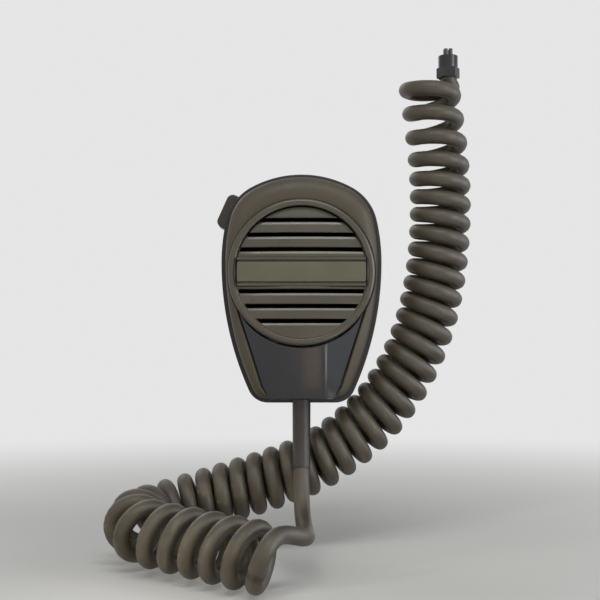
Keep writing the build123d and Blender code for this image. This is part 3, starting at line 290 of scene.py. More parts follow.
class CordSizes(bpy.types.PropertyGroup):
    """Sizes of the cord, its coil and the fittings at its ends."""

    diameter: length("Diameter", 0.0062, "Diameter of the cord")
    helix_radius: length("Helix radius", 0.00935, "Radius of the coil measured to the cord's middle")
    turn_points: whole("Points per turn", 28, "Points along one turn of the coil")
    sides: whole("Sides", 20, "Points round the cord")
    relief_root: length("Relief root radius", 0.0036, "Radius of the strain relief at the case")
    relief_tip: length("Relief tip radius", 0.0034, "Radius of the strain relief at its tip")
    relief_drop: length("Relief drop", 0.026, "Height of the strain relief")
    relief_lean: length("Relief lean", 0.0046, "How far the strain relief's tip leans forwards")


class FinishColours(bpy.types.PropertyGroup):
    """Colours of the visible finishes."""

    # The rear shell is a dark moulding. Its colour is set darker still than the front shell's as painted
    # shade, standing in for the shade on the case's outer rim
    rim: colour("Rear shell", (0.13, 0.124, 0.122), "Matte moulding of the rear shell")
    band: colour("Band", (0.27, 0.246, 0.2), "Matte moulding of the front shell")
    cap: colour("Cap", (0.25, 0.233, 0.188), "Semi-gloss moulding of the slotted cap")
    plate: colour("Plate", (0.348, 0.335, 0.276), "Satin paint of the bare plate")
    chin: colour("Chin", (0.09, 0.093, 0.115), "Gloss moulding of the shield")
    button: colour("Button", (0.195, 0.18, 0.16), "Matte moulding of the button")
    cord: colour("Cord", (0.245, 0.222, 0.178), "Satin jacket of the cord")
    relief: colour("Strain relief", (0.175, 0.163, 0.15), "Soft moulding of the strain relief")


class StageSettings(bpy.types.PropertyGroup):
    """Camera, lamps and floor."""

    lens: number("Lens", 63.0, "Focal length", "CAMERA")
    camera_place: triple("Camera place", (0.0014, -0.443, -0.029), "Where the camera stands")
    camera_aim: triple("Camera aim", (-0.00476, 1.0, 0.04476), "Direction of the view")
    lowest: length("Lowest turn", -0.112, "Height of the lowest turn of the coil")
    floor_gap: length("Floor gap", 0.0005, "Gap between the lowest turn of the coil and the floor")
    floor: colour("Floor", (0.86, 0.86, 0.85), "Paint of the floor")
    backdrop: colour("Backdrop", (0.9, 0.9, 0.9), "Colour behind the object")
    ambient: number("Ambient", 0.32, "Strength of the light from all round")
    key: power("Key lamp", 3.05, "Power of the lamp above")
    fill: power("Fill lamp", 2.1, "Power of the low lamp at the left")
    turns: power("Turns lamp", 0.015, "Power of the narrow lamp on the front turns")
    side: power("Side lamp", 1.3, "Power of the lamp at the right")
    back: power("Back lamp", 1.0, "Power of the lamp behind")
    card: number("Cards", 1.5, "Brightness of the cards that only show as reflections")


GROUPS = {
    "mic_case": CaseSizes,
    "mic_cap": CapSizes,
    "mic_chin": ChinSizes,
    "mic_cord": CordSizes,
    "mic_colours": FinishColours,
    "mic_stage": StageSettings,
}


def linear(shade, factor=1.0):
    """Linear red, green, blue and full alpha of a colour written as it is seen, times a factor."""
    return [factor * (c / 12.92 if c < 0.04045 else ((c + 0.055) / 1.055) ** 2.4) for c in shade] + [1.0]


class Signal:
    """Output of a shader node. Arithmetic on it adds Math nodes to the same tree."""

    def __init__(self, nodes, socket):
        self.nodes = nodes
        self.socket = socket

    def maths(self, operation, *values):
        return self.nodes.node("ShaderNodeMath", {"operation": operation}, dict(enumerate(values)))

    def __add__(self, other):
        return self.maths("ADD", self, other)

    def __sub__(self, other):
        return self.maths("SUBTRACT", self, other)

    def __rsub__(self, other):
        return self.maths("SUBTRACT", other, self)

    def __mul__(self, other):
        return self.maths("MULTIPLY", self, other)

    __radd__ = __add__

    def sine(self):
        return self.maths("SINE", self)

    def or_more(self, other):
        return self.maths("MAXIMUM", self, other)


class Nodes:
    """Node tree of a material or of the world."""

    def __init__(self, tree):
        self.tree = tree

    def feed(self, socket, value):
        """Links a signal to a socket, or sets the socket's own value."""
        if isinstance(value, Signal):
            self.tree.links.new(value.socket, socket)
        else:
            socket.default_value = value

    def node(self, kind, settings=None, inputs=None, output=0):
        """Adds a node: first its settings, then the values or links of its sockets."""
        made = self.tree.nodes.new(kind)
        for key, value in (settings or {}).items():
            setattr(made, key, value)
        for key, value in (inputs or {}).items():
            self.feed(made.inputs[key], value)
        return Signal(self, made.outputs[output])


class Finish(Nodes):
    """Procedural material with one Principled shader and the nodes that drive it."""

    def __init__(self, name, constants=None):
        self.material = bpy.data.materials.new(name)
        self.material.use_nodes = True
        super().__init__(self.material.node_tree)
        self.drive(constants or {})

    def drive(self, inputs):
        """Sets or links sockets of the Principled shader."""
        for key, value in inputs.items():
            self.feed(self.tree.nodes["Principled BSDF"].inputs[key], value)
        return self.material

    def place(self, stretch=(1.0, 1.0, 1.0)):
        """Object coordinates, stretched along the axes."""
        coordinates = self.node("ShaderNodeTexCoord", output=3)
        return self.node("ShaderNodeMapping", inputs={"Vector": coordinates, "Scale": stretch})

    def noise(self, scale, detail=2.0, roughness=0.5, stretch=(1.0, 1.0, 1.0)):
        """Smooth noise between 0 and 1, with features about 1 / scale metres across."""
        inputs = {"Vector": self.place(stretch), "Scale": scale, "Detail": detail, "Roughness": roughness}
        return self.node("ShaderNodeTexNoise", inputs=inputs)

    def cells(self, scale, feature="F1"):
        """Distance to the nearest of scattered points, about 1 / scale metres apart."""
        inputs = {"Vector": self.place(), "Scale": scale}
        return self.node("ShaderNodeTexVoronoi", {"feature": feature}, inputs)

    def span(self, signal, low, high, start=0.0, end=1.0):
        """Signal carried from low..high to start..end, held at the ends."""
        inputs = {"Value": signal, "From Min": low, "From Max": high, "To Min": start, "To Max": end}
        return self.node("ShaderNodeMapRange", inputs=inputs)

    def mix(self, factor, first, second):
        """Colour between two others."""
        return self.node("ShaderNodeMix", {"data_type": "RGBA"}, {0: factor, 6: first, 7: second}, output=2)

    def tones(self, factor, shade, first, second):
        """Colour between a shade times a first factor and the same shade times a second one."""
        return self.mix(factor, linear(shade, first), linear(shade, second))

    def bump(self, height, distance):
        """Normal of a relief whose height of 1 stands for a distance in metres."""
        return self.node("ShaderNodeBump", inputs={"Height": height, "Distance": distance})


def moulding(name, shade, roughness, grain=0.00002, grain_scale=2600, gloss=0.0, shine=0.35):
    """Moulded plastic: cloudy tone, fine spark-eroded grain, and finger wear that polishes it in patches."""
    constants = {"IOR": 1.5, "Coat Roughness": 0.12, "Specular IOR Level": shine, "Coat Weight": gloss}
    finish = Finish(name, constants)
    cloud = finish.noise(60, 3.0, 0.6)
    speck = finish.noise(grain_scale, 2.0, 0.6)
    wear = finish.span(finish.noise(110, 4.0, 0.62), 0.52, 0.72)
    tone = finish.span(cloud * 0.7 + speck * 0.3, 0.3, 0.7)
    dust = finish.span(finish.noise(900, 2.0, 0.7), 0.66, 0.8, 0.0, 0.25)
    return finish.drive(
        {
            "Base Color": finish.mix(dust, finish.tones(tone, shade, 0.86, 1.12), linear(shade, 1.7)),
            "Roughness": roughness + speck * 0.08 - wear * 0.1,
            "Normal": finish.bump(speck * 0.7 + finish.noise(grain_scale / 3, 1.0) * 0.3, grain),
        }
    )


def gloss_moulding(name, shade):
    """Polished plastic: faint long waves in the surface, hairline scratches and a film of dust."""
    finish = Finish(name, {"IOR": 1.52, "Coat Roughness": 0.06, "Coat Weight": 0.3})
    wave = finish.noise(140, 2.0)
    smear = finish.span(finish.noise(220, 4.0, 0.65), 0.45, 0.75)
    scratch = finish.span(finish.noise(500, 3.0, 0.7, (1.0, 1.0, 14.0)), 0.68, 0.76)
    return finish.drive(
        {
            "Base Color": finish.tones(smear * 0.6, shade, 1.0, 1.2),
            "Roughness": 0.12 + smear * 0.1 + scratch * 0.12,
            "Normal": finish.bump(wave + scratch * -0.02, 0.000008),
        }
    )


def satin_paint(name, shade):
    """Painted plate: fine brushed lines under satin paint, with small rubbed places."""
    finish = Finish(name, {"IOR": 1.45, "Coat Roughness": 0.3, "Metallic": 0.25})
    lines = finish.noise(400, 3.0, 0.7, (1.0, 1.0, 22.0))
    cloud = finish.noise(90, 3.0)
    tone = finish.span(lines * 0.5 + cloud * 0.5, 0.35, 0.65)
    return finish.drive(
        {
            "Base Color": finish.tones(tone, shade, 0.9, 1.1),
            "Roughness": 0.36 + lines * 0.14,
            "Normal": finish.bump(lines, 0.000012),
        }
    )


def jacket(name, shade, roughness=0.42):
    """Extruded rubber jacket: slight mottling, drawn lines and a dull bloom."""
    finish = Finish(name, {"IOR": 1.5})
    cloud = finish.noise(160, 3.0, 0.6)
    speck = finish.noise(3200, 2.0, 0.6)
    bloom = finish.span(finish.noise(70, 4.0, 0.6), 0.5, 0.75)
    body = finish.tones(finish.span(cloud, 0.3, 0.7), shade, 0.85, 1.14)
    return finish.drive(
        {
            "Base Color": finish.mix(bloom * 0.4, body, linear(shade, 1.5)),
            "Roughness": roughness + speck * 0.1 + bloom * 0.12,
            "Normal": finish.bump(speck * 0.6 + cloud * 0.4, 0.00002),
        }
    )


def metal(name, shade, roughness, scale):
    """Bare or plated metal: pits that break up its shine, and faint tarnish."""
    finish = Finish(name, {"Metallic": 1.0})
    grain = finish.noise(scale, 3.0, 0.6)
    tarnish = finish.span(finish.noise(120, 4.0, 0.6), 0.45, 0.75)
    return finish.drive(
        {
            "Base Color": finish.tones(tarnish, shade, 1.0, 0.75),
            "Roughness": roughness + grain * 0.12 + tarnish * 0.08,
            "Normal": finish.bump(grain, 0.000008),
        }
    )


def woven_cloth(name, shade):
    """Plain weave: two sets of threads that pass over each other, one across and one up, with painted shade
    where a thread dips low and painted light where it rides high.
    """
    finish = Finish(name, {"Roughness": 0.9})
    across, up = [
        (finish.node("ShaderNodeSeparateXYZ", inputs={0: finish.place()}, output=axis) * 9000).sine()
        for axis in (0, 2)
    ]
    weave = finish.span(across * up, -1.0, 1.0)
    # Painted shade and light: the colour follows the weave's height, darker in the low parts and lighter on
    # the high parts
    colours = finish.tones(weave, shade, 0.5, 1.6)
    return finish.drive({"Base Color": colours, "Normal": finish.bump(weave, 0.00008)})


def open_foam(name, shade):
    """Open-cell foam: pores between rounded walls, with painted shade darkening the low pores and painted
    light on the raised cells.
    """
    finish = Finish(name, {"Roughness": 0.95})
    pores = finish.span(finish.cells(1400), 0.1, 0.6)
    # Painted shade and light: the colour darkens where the bump is low, in the pores, and lightens on the
    # raised cells
    colours = finish.tones(pores, shade, 1.4, 0.4)
    return finish.drive({"Base Color": colours, "Normal": finish.bump(1.0 - pores, 0.0003)})


def board_laminate(name, shade):
    """Glass-epoxy board: lighter tracks under green lacquer over a faint weave."""
    finish = Finish(name, {"Coat Weight": 0.4, "Coat Roughness": 0.15})
    track = finish.span(finish.cells(220, "SMOOTH_F1"), 0.42, 0.46)
    weave = finish.noise(2500, 1.0)
    return finish.drive(
        {
            "Base Color": finish.tones(track, shade, 1.0, 1.8),
            "Roughness": 0.35 + weave * 0.15,
            "Normal": finish.bump(track * 0.7 + weave * 0.3, 0.00003),
        }
    )


def grid_faces(rows, columns, wrap_rows, wrap_columns):
    """Quads between neighbouring points of a grid that is numbered row by row."""
    index = np.arange(rows * columns).reshape(rows, columns)
    if wrap_rows:
        index = np.vstack([index, index[:1]])
    if wrap_columns:
        index = np.hstack([index, index[:, :1]])
    corners = (index[:-1, :-1], index[:-1, 1:], index[1:, 1:], index[1:, :-1])
    return np.stack(corners, axis=-1).reshape(-1, 4)


def shade_edges(mesh, sharp):
    """Smooth shading, but for the edges whose faces meet at more than an angle in degrees."""
    mesh.shade_smooth()
    mesh.set_sharp_from_angle(angle=math.radians(sharp))


def make_piece(name, grids, material, body=None, stands_for=(), sharp=SHARP_ANGLE):
    """Object made of closed grids of points, each with its wraps, welded and turned outwards."""
    points, faces, start = [], [], 0
    for grid, wrap_rows, wrap_columns in grids:
        rows, columns = grid.shape[:2]
        points.append(grid.reshape(-1, 3))
        faces.append(grid_faces(rows, columns, wrap_rows, wrap_columns) + start)
        start += rows * columns
    mesh = bpy.data.meshes.new(name)
    mesh.from_pydata(np.concatenate(points), [], np.concatenate(faces).tolist())
    work = bmesh.new()
    work.from_mesh(mesh)
    bmesh.ops.remove_doubles(work, verts=work.verts, dist=WELD)
    bmesh.ops.dissolve_degenerate(work, edges=work.edges, dist=SLIVER)
    bmesh.ops.recalc_face_normals(work, faces=work.faces)
    work.to_mesh(mesh)
    work.free()
    shade_edges(mesh, sharp)
    mesh.materials.append(material)
    piece = bpy.data.objects.new(name, mesh)
    bpy.context.scene.collection.objects.link(piece)
    if body:
        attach(piece, body)
    if stands_for:
        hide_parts(*stands_for)
    return piece


def cut_away(piece, grid):
    """Takes the solid inside a grid, which is closed round its rows, out of a piece."""
    cutter = make_piece("cutter", [(grid, False, True)], piece.data.materials[0])
    cut = piece.modifiers.new("cut", "BOOLEAN")
    cut.operation = "DIFFERENCE"
    cut.solver = "EXACT"
    cut.object = cutter
    bpy.context.view_layer.update()
    solid = piece.evaluated_get(bpy.context.evaluated_depsgraph_get())
    mesh = bpy.data.meshes.new_from_object(solid)
    piece.modifiers.clear()
    piece.data = mesh
    shade_edges(mesh, SHARP_ANGLE)
    bpy.data.objects.remove(cutter)


def at(x, depth, z):
    """Points from places across and up, and depths in front of the wall."""
    x, depth, z = np.broadcast_arrays(x, depth, z)
    return np.stack([x, -depth, z], axis=-1).astype(float)


def raised(flat, depth):
    """Points from pairs of places across and up, and their depths in front of the wall."""
    return at(flat[..., 0], depth, flat[..., 1])


def lathe(profile, centre, sides=40):
    """Grid of a profile of radius and depth turned round an axis along Y through a centre in X and Z."""
    turn = np.linspace(0.0, 2 * math.pi, sides, endpoint=False)
    radius, depth = np.array(profile).T[:, :, None]
    return at(centre[0] + radius * np.cos(turn), depth, centre[1] + radius * np.sin(turn))


def tangent_centre(first, first_reach, second, second_reach):
    """Place at two given distances from two centres, on the left of the way from the second to the first."""
    way = first - second
    apart = np.linalg.norm(way)
    along = (second_reach**2 - first_reach**2 + apart**2) / (2 * apart)
    across = math.sqrt(second_reach**2 - along**2)
    way = way / apart
    return second + way * along + np.array([-way[1], way[0]]) * across


def outline_columns(case, spacing=0.0011):
    """Columns round the case's outline, clockwise from the top: centre, radius and outward normal of each.

    A point of the outline moved inwards by d is centre + (radius - d) * normal. On an arc the centre is the
    arc's own; on the straight foot the radius is zero and the centre lies on the line itself.
    """
    half = case.width / 2
    crown = np.array([0.0, case.top - case.crown_radius])
    upper = np.array([half - case.upper_flank_radius, case.widest_height])
    lower = np.array([half - case.lower_flank_radius, case.widest_height])
    to_crown = case.crown_radius - case.shoulder_radius
    shoulder = tangent_centre(crown, to_crown, upper, case.upper_flank_radius - case.shoulder_radius)
    corner_z = case.corner_radius - case.bottom
    corner_reach = case.lower_flank_radius - case.corner_radius
    corner = np.array([lower[0] + math.sqrt(corner_reach**2 - (corner_z - lower[1]) ** 2), corner_z])
    turns = [
        math.pi / 2,
        math.atan2(*(shoulder - crown)[::-1]),
        math.atan2(*(shoulder - upper)[::-1]),
        0.0,
        math.atan2(*(corner - lower)[::-1]),
        -math.pi / 2,
    ]
    centres = [crown, shoulder, upper, lower, corner]
    radii = [
        case.crown_radius,
        case.shoulder_radius,
        case.upper_flank_radius,
        case.lower_flank_radius,
        case.corner_radius,
    ]
    centre, radius, normal = [], [], []
    for place, reach, start, end in zip(centres, radii, turns, turns[1:]):
        steps = max(6, int(reach * abs(end - start) / spacing))
        turn = np.linspace(start, end, steps, endpoint=False)
        centre.append(np.tile(place, (steps, 1)))
        radius.append(np.full(steps, reach))
        normal.append(np.stack([np.cos(turn), np.sin(turn)], axis=-1))
    steps = 2 * int(corner[0] / spacing)
    foot = np.linspace(corner[0], -corner[0], steps)
    centre.append(np.stack([foot, np.full(steps, -case.bottom)], axis=-1))
    radius.append(np.zeros(steps))
    normal.append(np.tile([0.0, -1.0], (steps, 1)))
    mirror = np.array([-1.0, 1.0])
    centre.append(np.concatenate(centre[:5])[:0:-1] * mirror)
    radius.append(np.concatenate(radius[:5])[:0:-1])
    normal.append(np.concatenate(normal[:5])[:0:-1] * mirror)
    return np.concatenate(centre), np.concatenate(radius), np.concatenate(normal)


def outline_at(columns, inset):
    """Outline moved inwards: one row of points for each value of inset."""
    centre, radius, normal = columns
    inset = np.asarray(inset, float)
    reach = radius - (inset[:, None] if inset.ndim == 1 else inset)
    return centre + reach[..., None] * normal


def ramp(value, low, high):
    """Share of the way from low to high, held between 0 and 1."""
    return np.clip((value - low) / (high - low), 0.0, 1.0)


def quarter(steps):
    """Quarter turn in steps, as sine and one minus cosine."""
    turn = np.linspace(0.0, 1.0, steps) * math.pi / 2
    return np.sin(turn), 1 - np.cos(turn)


def versine_of(share):
    """Fall of a quarter round at a share of its width."""
    return 1 - np.sqrt(np.maximum(1 - share**2, 0.0))


def rear_profile(case):
    """Inset and depth of the rear shell's section, from the middle of its inner floor to that of its back.

    The inner rounding is tighter than the outer one by shares of the wall's thickness.
    """
    rise, run = quarter(14)
    lip, lip_break = 0.0003, 0.00009
    tighter_across, tighter_along = 0.8, 0.4
    outer_edge = case.back + case.rear_along
    inner_across = case.rear_across - tighter_across * case.wall
    inner_along = case.rear_along - tighter_along * case.wall
    floor = case.back + case.wall
    inner_inset = case.wall + case.draft + inner_across * run[::-1]
    inner_depth = floor + inner_along * (1 - rise[::-1])
    rim_inset = [case.wall, case.wall, lip, lip_break, 0.0]
    rim_depth = [case.parting - drop for drop in (lip, 0.0, 0.0, lip_break, lip)]
    outer_inset = case.draft + case.rear_across * run
    outer_depth = outer_edge - case.rear_along * rise
    inset = np.concatenate([inner_inset, rim_inset, outer_inset])
    depth = np.concatenate([inner_depth, rim_depth, outer_depth])
    return inset, depth


def talk_frame(case):
    """Origin, direction along the outline and outward direction of the talk button, on the left shoulder."""
    columns = outline_columns(case)
    turn = math.radians(TALK_ANGLE)
    outward = np.array([-math.cos(turn), math.sin(turn)])
    place = outline_at(columns, 0.0)[np.argmax(columns[2] @ outward)]
    along = np.array([math.sin(turn), 0.0, math.cos(turn)])
    return raised(place, TALK_DEPTH), along, np.array([outward[0], 0.0, outward[1]])


def block(origin, along, outward, size, low, high):
    """Grid of a box: size along and across, between two heights on the outward axis."""
    across = np.cross(outward, along)
    corners = np.array([(-1, -1), (1, -1), (1, 1), (-1, 1)]) / 2.0
    flat = corners[:, :1] * size[0] * along + corners[:, 1:] * size[1] * across
    rows = [np.zeros((4, 3)) + origin + outward * low]
    rows += [origin + flat + outward * height for height in (low, high)]
    rows += [np.zeros((4, 3)) + origin + outward * high]
    return np.stack(rows)


class MIC_OT_rear_shell(bpy.types.Operator):
    """Rear shell with the openings for the talk button and the screws"""

    bl_idname = "mic.rear_shell"
    bl_label = "Rear shell"

    def execute(self, context):
        """Section carried round the outline, closed in the middle of the floor and of the back."""
        case = context.scene.mic_case
        # Partly painted shade: the rim colour is darker than the front shell's to stand in for the shade on
        # the case's outer rim
        material = moulding("rear_shell_moulding", context.scene.mic_colours.rim, 0.5)
        columns = outline_columns(case)
        inset, depth = rear_profile(case)
        flat = outline_at(columns, inset)
        middle = np.array([0.0, (case.top - case.bottom) / 2])
        shares = np.array([0.0, 0.35, 0.7])[:, None, None]
        floor = middle + (flat[0] - middle) * shares
        back = middle + (flat[-1] - middle) * shares[::-1]
        flat = np.concatenate([floor, flat, back])
        depth = np.concatenate([[depth[0]] * 3, depth, [depth[-1]] * 3])
        grids = [(raised(flat, depth[:, None]), False, True)]
        shell = make_piece("rear_shell", grids, material, "microphone", ["rear_case"])
        cut_away(shell, block(*talk_frame(case), OPENING_SIZE, *OPENING_REACH))
        inner, outer = case.back + SCREW_SINK, case.back - SCREW_PAST
        profile = [(0.0, inner), (SCREW_RADIUS, inner), (SCREW_RADIUS, outer), (0.0, outer)]
        for place in SCREW_PLACES:
            cut_away(shell, lathe(profile, place))
        return {"FINISHED"}


def chin_half_width(chin, z, grow):
    """Half of the shield's width at a height, its sides moved outwards by grow."""
    lowest, foot_height = 0.06, 0.0049
    heights = np.array([-lowest, -chin.side_drop, -chin.top_drop, 0.0])
    foot = chin.side_half - (lowest - chin.side_drop) * (chin.side_half - chin.foot_half) / foot_height
    slope = (chin.top_half - chin.side_half) / (chin.side_drop - chin.top_drop)
    widths = np.array([foot, chin.side_half, chin.top_half, chin.top_half + slope * chin.top_drop])
    return np.interp(z, heights, widths) + grow * math.hypot(1.0, slope)


def band_reach(case, cap, chin, columns):
    """Distance from the band's outer foot inwards to its inner edge, for each column of the outline.

    It is the first place on the way in that lies inside the cap's bore or the shield's recess.
    """
    reach = np.linspace(0.0, BAND_REACH, 1401)
    flat = outline_at(columns, case.rim_step + reach)
    x, z = np.abs(flat[..., 0]), flat[..., 1]
    in_bore = np.hypot(x, z) < cap.radius + cap.gap
    in_recess = (x < chin_half_width(chin, z, chin.gap)) & (z < -chin.top_drop)
    inside = in_bore | in_recess
    first = np.argmax(inside, axis=0)
    return reach[first], in_bore[first, np.arange(len(first))]


def band_profile(case, share):
    """Inset and depth on the band's section: a drafted wall, a tight shoulder and a gently crowned face.

    Above the wall the depth is a blend of a squarish oval, which makes the shoulder, and of a parabola,
    which makes the crown.
    """
    wall_share, round_share, oval_part = 0.2, 0.75, 0.62
    corner = case.front - case.band_along
    turn = ramp(share, wall_share, round_share) * math.pi / 2
    on_wall = ramp(share, 0.0, wall_share)
    on_face = ramp(share, round_share, 1.0)
    across = 1 - np.cos(turn)
    oval = (1 - (1 - across) ** 4) ** 0.25
    crown = 1 - (1 - across) ** 2
    inset = case.draft * on_wall + case.band_across * across + BAND_REACH * on_face
    rounding = oval_part * oval + (1 - oval_part) * crown
    depth = case.parting + (corner - case.parting) * on_wall + case.band_along * rounding
    return inset, depth


class MIC_OT_front_shell(bpy.types.Operator):
    """Front shell: the rounded band round the cap and the shield"""

    bl_idname = "mic.front_shell"
    bl_label = "Front shell"

    def execute(self, context):
        """Band's section carried round the outline and cut off where the bore or the recess begins.

        Rows run up the outer profile to the inner edge, round that edge, down to the floor, inwards along
        the floor, and back underneath to the parting.
        """
        scene = context.scene
        case, cap, chin = scene.mic_case, scene.mic_cap, scene.mic_chin
        material = moulding("band_moulding", scene.mic_colours.band, 0.46)
        columns = outline_columns(case)
        reach, in_bore = band_reach(case, cap, chin, columns)
        rows, rising = 2001, 1500
        share = np.linspace(0.0, 1.0, rows)
        inset_table, depth_table = band_profile(case, share)
        edge = np.minimum(case.edge, reach / 2)
        end_share = np.interp(reach - edge, inset_table, share)
        edge_depth = np.interp(end_share, share, depth_table)
        up = np.linspace(0.0, 1.0, 22)[:, None] * end_share
        inset, depth = band_profile(case, up)
        sine, versine = quarter(6)
        inset = np.vstack([inset, reach - edge + edge * sine[1:, None]])
        depth = np.vstack([depth, edge_depth - edge * versine[1:, None]])
        least_drop, ledge_width = 0.0004, 0.0023
        floor = np.where(in_bore, np.minimum(cap.seat, depth[-1] - least_drop), chin.recess)
        climb = np.linspace(0.0, 1.0, 6)[1:, None]
        low_share = np.interp(chin.recess, depth_table[:rising], share[:rising])
        climbing = depth[-1] < floor
        climb_share = end_share + (low_share - end_share) * climb
        climb_inset, climb_depth = band_profile(case, climb_share)
        climb_inset = np.where(climbing, climb_inset, reach)
        climb_depth = np.where(climbing, climb_depth, depth[-1] + (floor - depth[-1]) * climb)
        ledge = climb_inset[-1] + ledge_width
        under = floor - case.wall
        wall, foot = np.full_like(ledge, case.wall), np.full_like(ledge, case.parting)
        inset = np.vstack([inset, climb_inset, ledge, ledge, wall, wall])
        depth = np.vstack([depth, climb_depth, floor, under, under, foot])
        flat = outline_at(columns, case.rim_step + inset)
        grids = [(raised(flat, depth), True, True)]
        make_piece("front_shell", grids, material, "microphone", ["front_case"])
        return {"FINISHED"}


def dome_depth(cap, x, z):
    """Depth of the slatted disc: a shallow paraboloid, highest in the middle, that falls back upwards."""
    return cap.disc_edge + cap.rise * (1 - (x**2 + z**2) / cap.disc_radius**2) - cap.tilt * z


def cap_rows(cap):
    """Rows of the slotted cap from its foot to its top: height, drop below the dome, and kind of each.

    Kinds are 0 for the dome, 1 for the floor of a slot, 2 for the plate's frame and 3 for the plate's recess.
    A slat has a bevel along its upper edge and a narrowly rounded lower edge. The bevel starts in a bend that
    is a parabola, up to bend_end of its width, and ends in a soft edge from soft_start on.
    """
    corner, edge = 0.0004, 0.00025
    bend_end, bend_lift, soft_start, soft_drop = 0.22, 0.11, 0.8, 0.2
    half_slot = cap.slot_height / 2
    steps = [cap.slot_first + row * cap.slot_pitch for row in range(3)]
    slots = [cap.slot_shift + side * step for side in (-1, 1) for step in steps]
    frame_half = cap.plate_height / 2 + cap.frame_border
    recess_half = cap.plate_height / 2 + cap.plate_gap
    stops = sorted(
        [(z - half_slot, "slot") for z in slots]
        + [(z + half_slot, "slat") for z in slots]
        + [(cap.plate_shift - frame_half, "frame"), (cap.plate_shift + frame_half, "slat")]
        + [(cap.plate_shift - recess_half, "recess"), (cap.plate_shift + recess_half, "frame")]
    )
    stops = [(-cap.slot_radius, "slat")] + stops + [(cap.slot_radius, None)]
    height, drop, kind = [], [], []
    for (low, name), (high, following) in zip(stops, stops[1:]):
        if name == "slat":
            lower = corner if low > -cap.slot_radius else 0.0
            upper = corner if following == "frame" else cap.bevel if following else 0.0
            sine, versine = quarter(7)
            inner = np.linspace(low + lower, high - upper, 9)
            if not lower or not upper:
                start, end = [math.asin(place / cap.slot_radius) for place in (inner[0], inner[-1])]
                inner = cap.slot_radius * np.sin(np.linspace(start, end, 18))
            lower_z, lower_drop = low + lower * (1 - sine[::-1]), lower * versine[::-1]
            upper_z, upper_drop = high - upper * (1 - sine), upper * versine
            if following == "slot":
                share = np.array([0.0, 0.06, 0.13, bend_end, 0.4, 0.6, soft_start, 0.88, 0.94, 0.98, 1.0])
                upper_z = high - upper * (1 - share)
                soft = ramp(share, soft_start, 1.0)
                bend = ramp(share, 0.0, bend_end)
                slope = cap.bevel_slope - 2 * cap.rise * high / cap.disc_radius**2
                chamfer = slope * upper * (share - bend_lift * (1 - (1 - bend) ** 2))
                upper_drop = chamfer + soft_drop * upper * versine_of(soft)
            z = np.concatenate([lower_z, inner[1:-1], upper_z])
            fall = np.concatenate([lower_drop, np.zeros(len(inner) - 2), upper_drop])
            row_kind = 0
        elif name == "frame":
            sine, versine = quarter(5)
            z = np.concatenate([low + edge * (1 - sine[::-1]), high - edge * (1 - sine)])
            fall = np.concatenate([edge * versine[::-1], edge * versine])
            row_kind = 2
        else:
            z = np.linspace(low, high, 3 if name == "slot" else 8)
            fall = np.zeros(len(z))
            row_kind = 1 if name == "slot" else 3
        height.append(z)
        drop.append(fall)
        kind.append(np.full(len(z), row_kind))
    return np.concatenate(height), np.concatenate(drop), np.concatenate(kind)


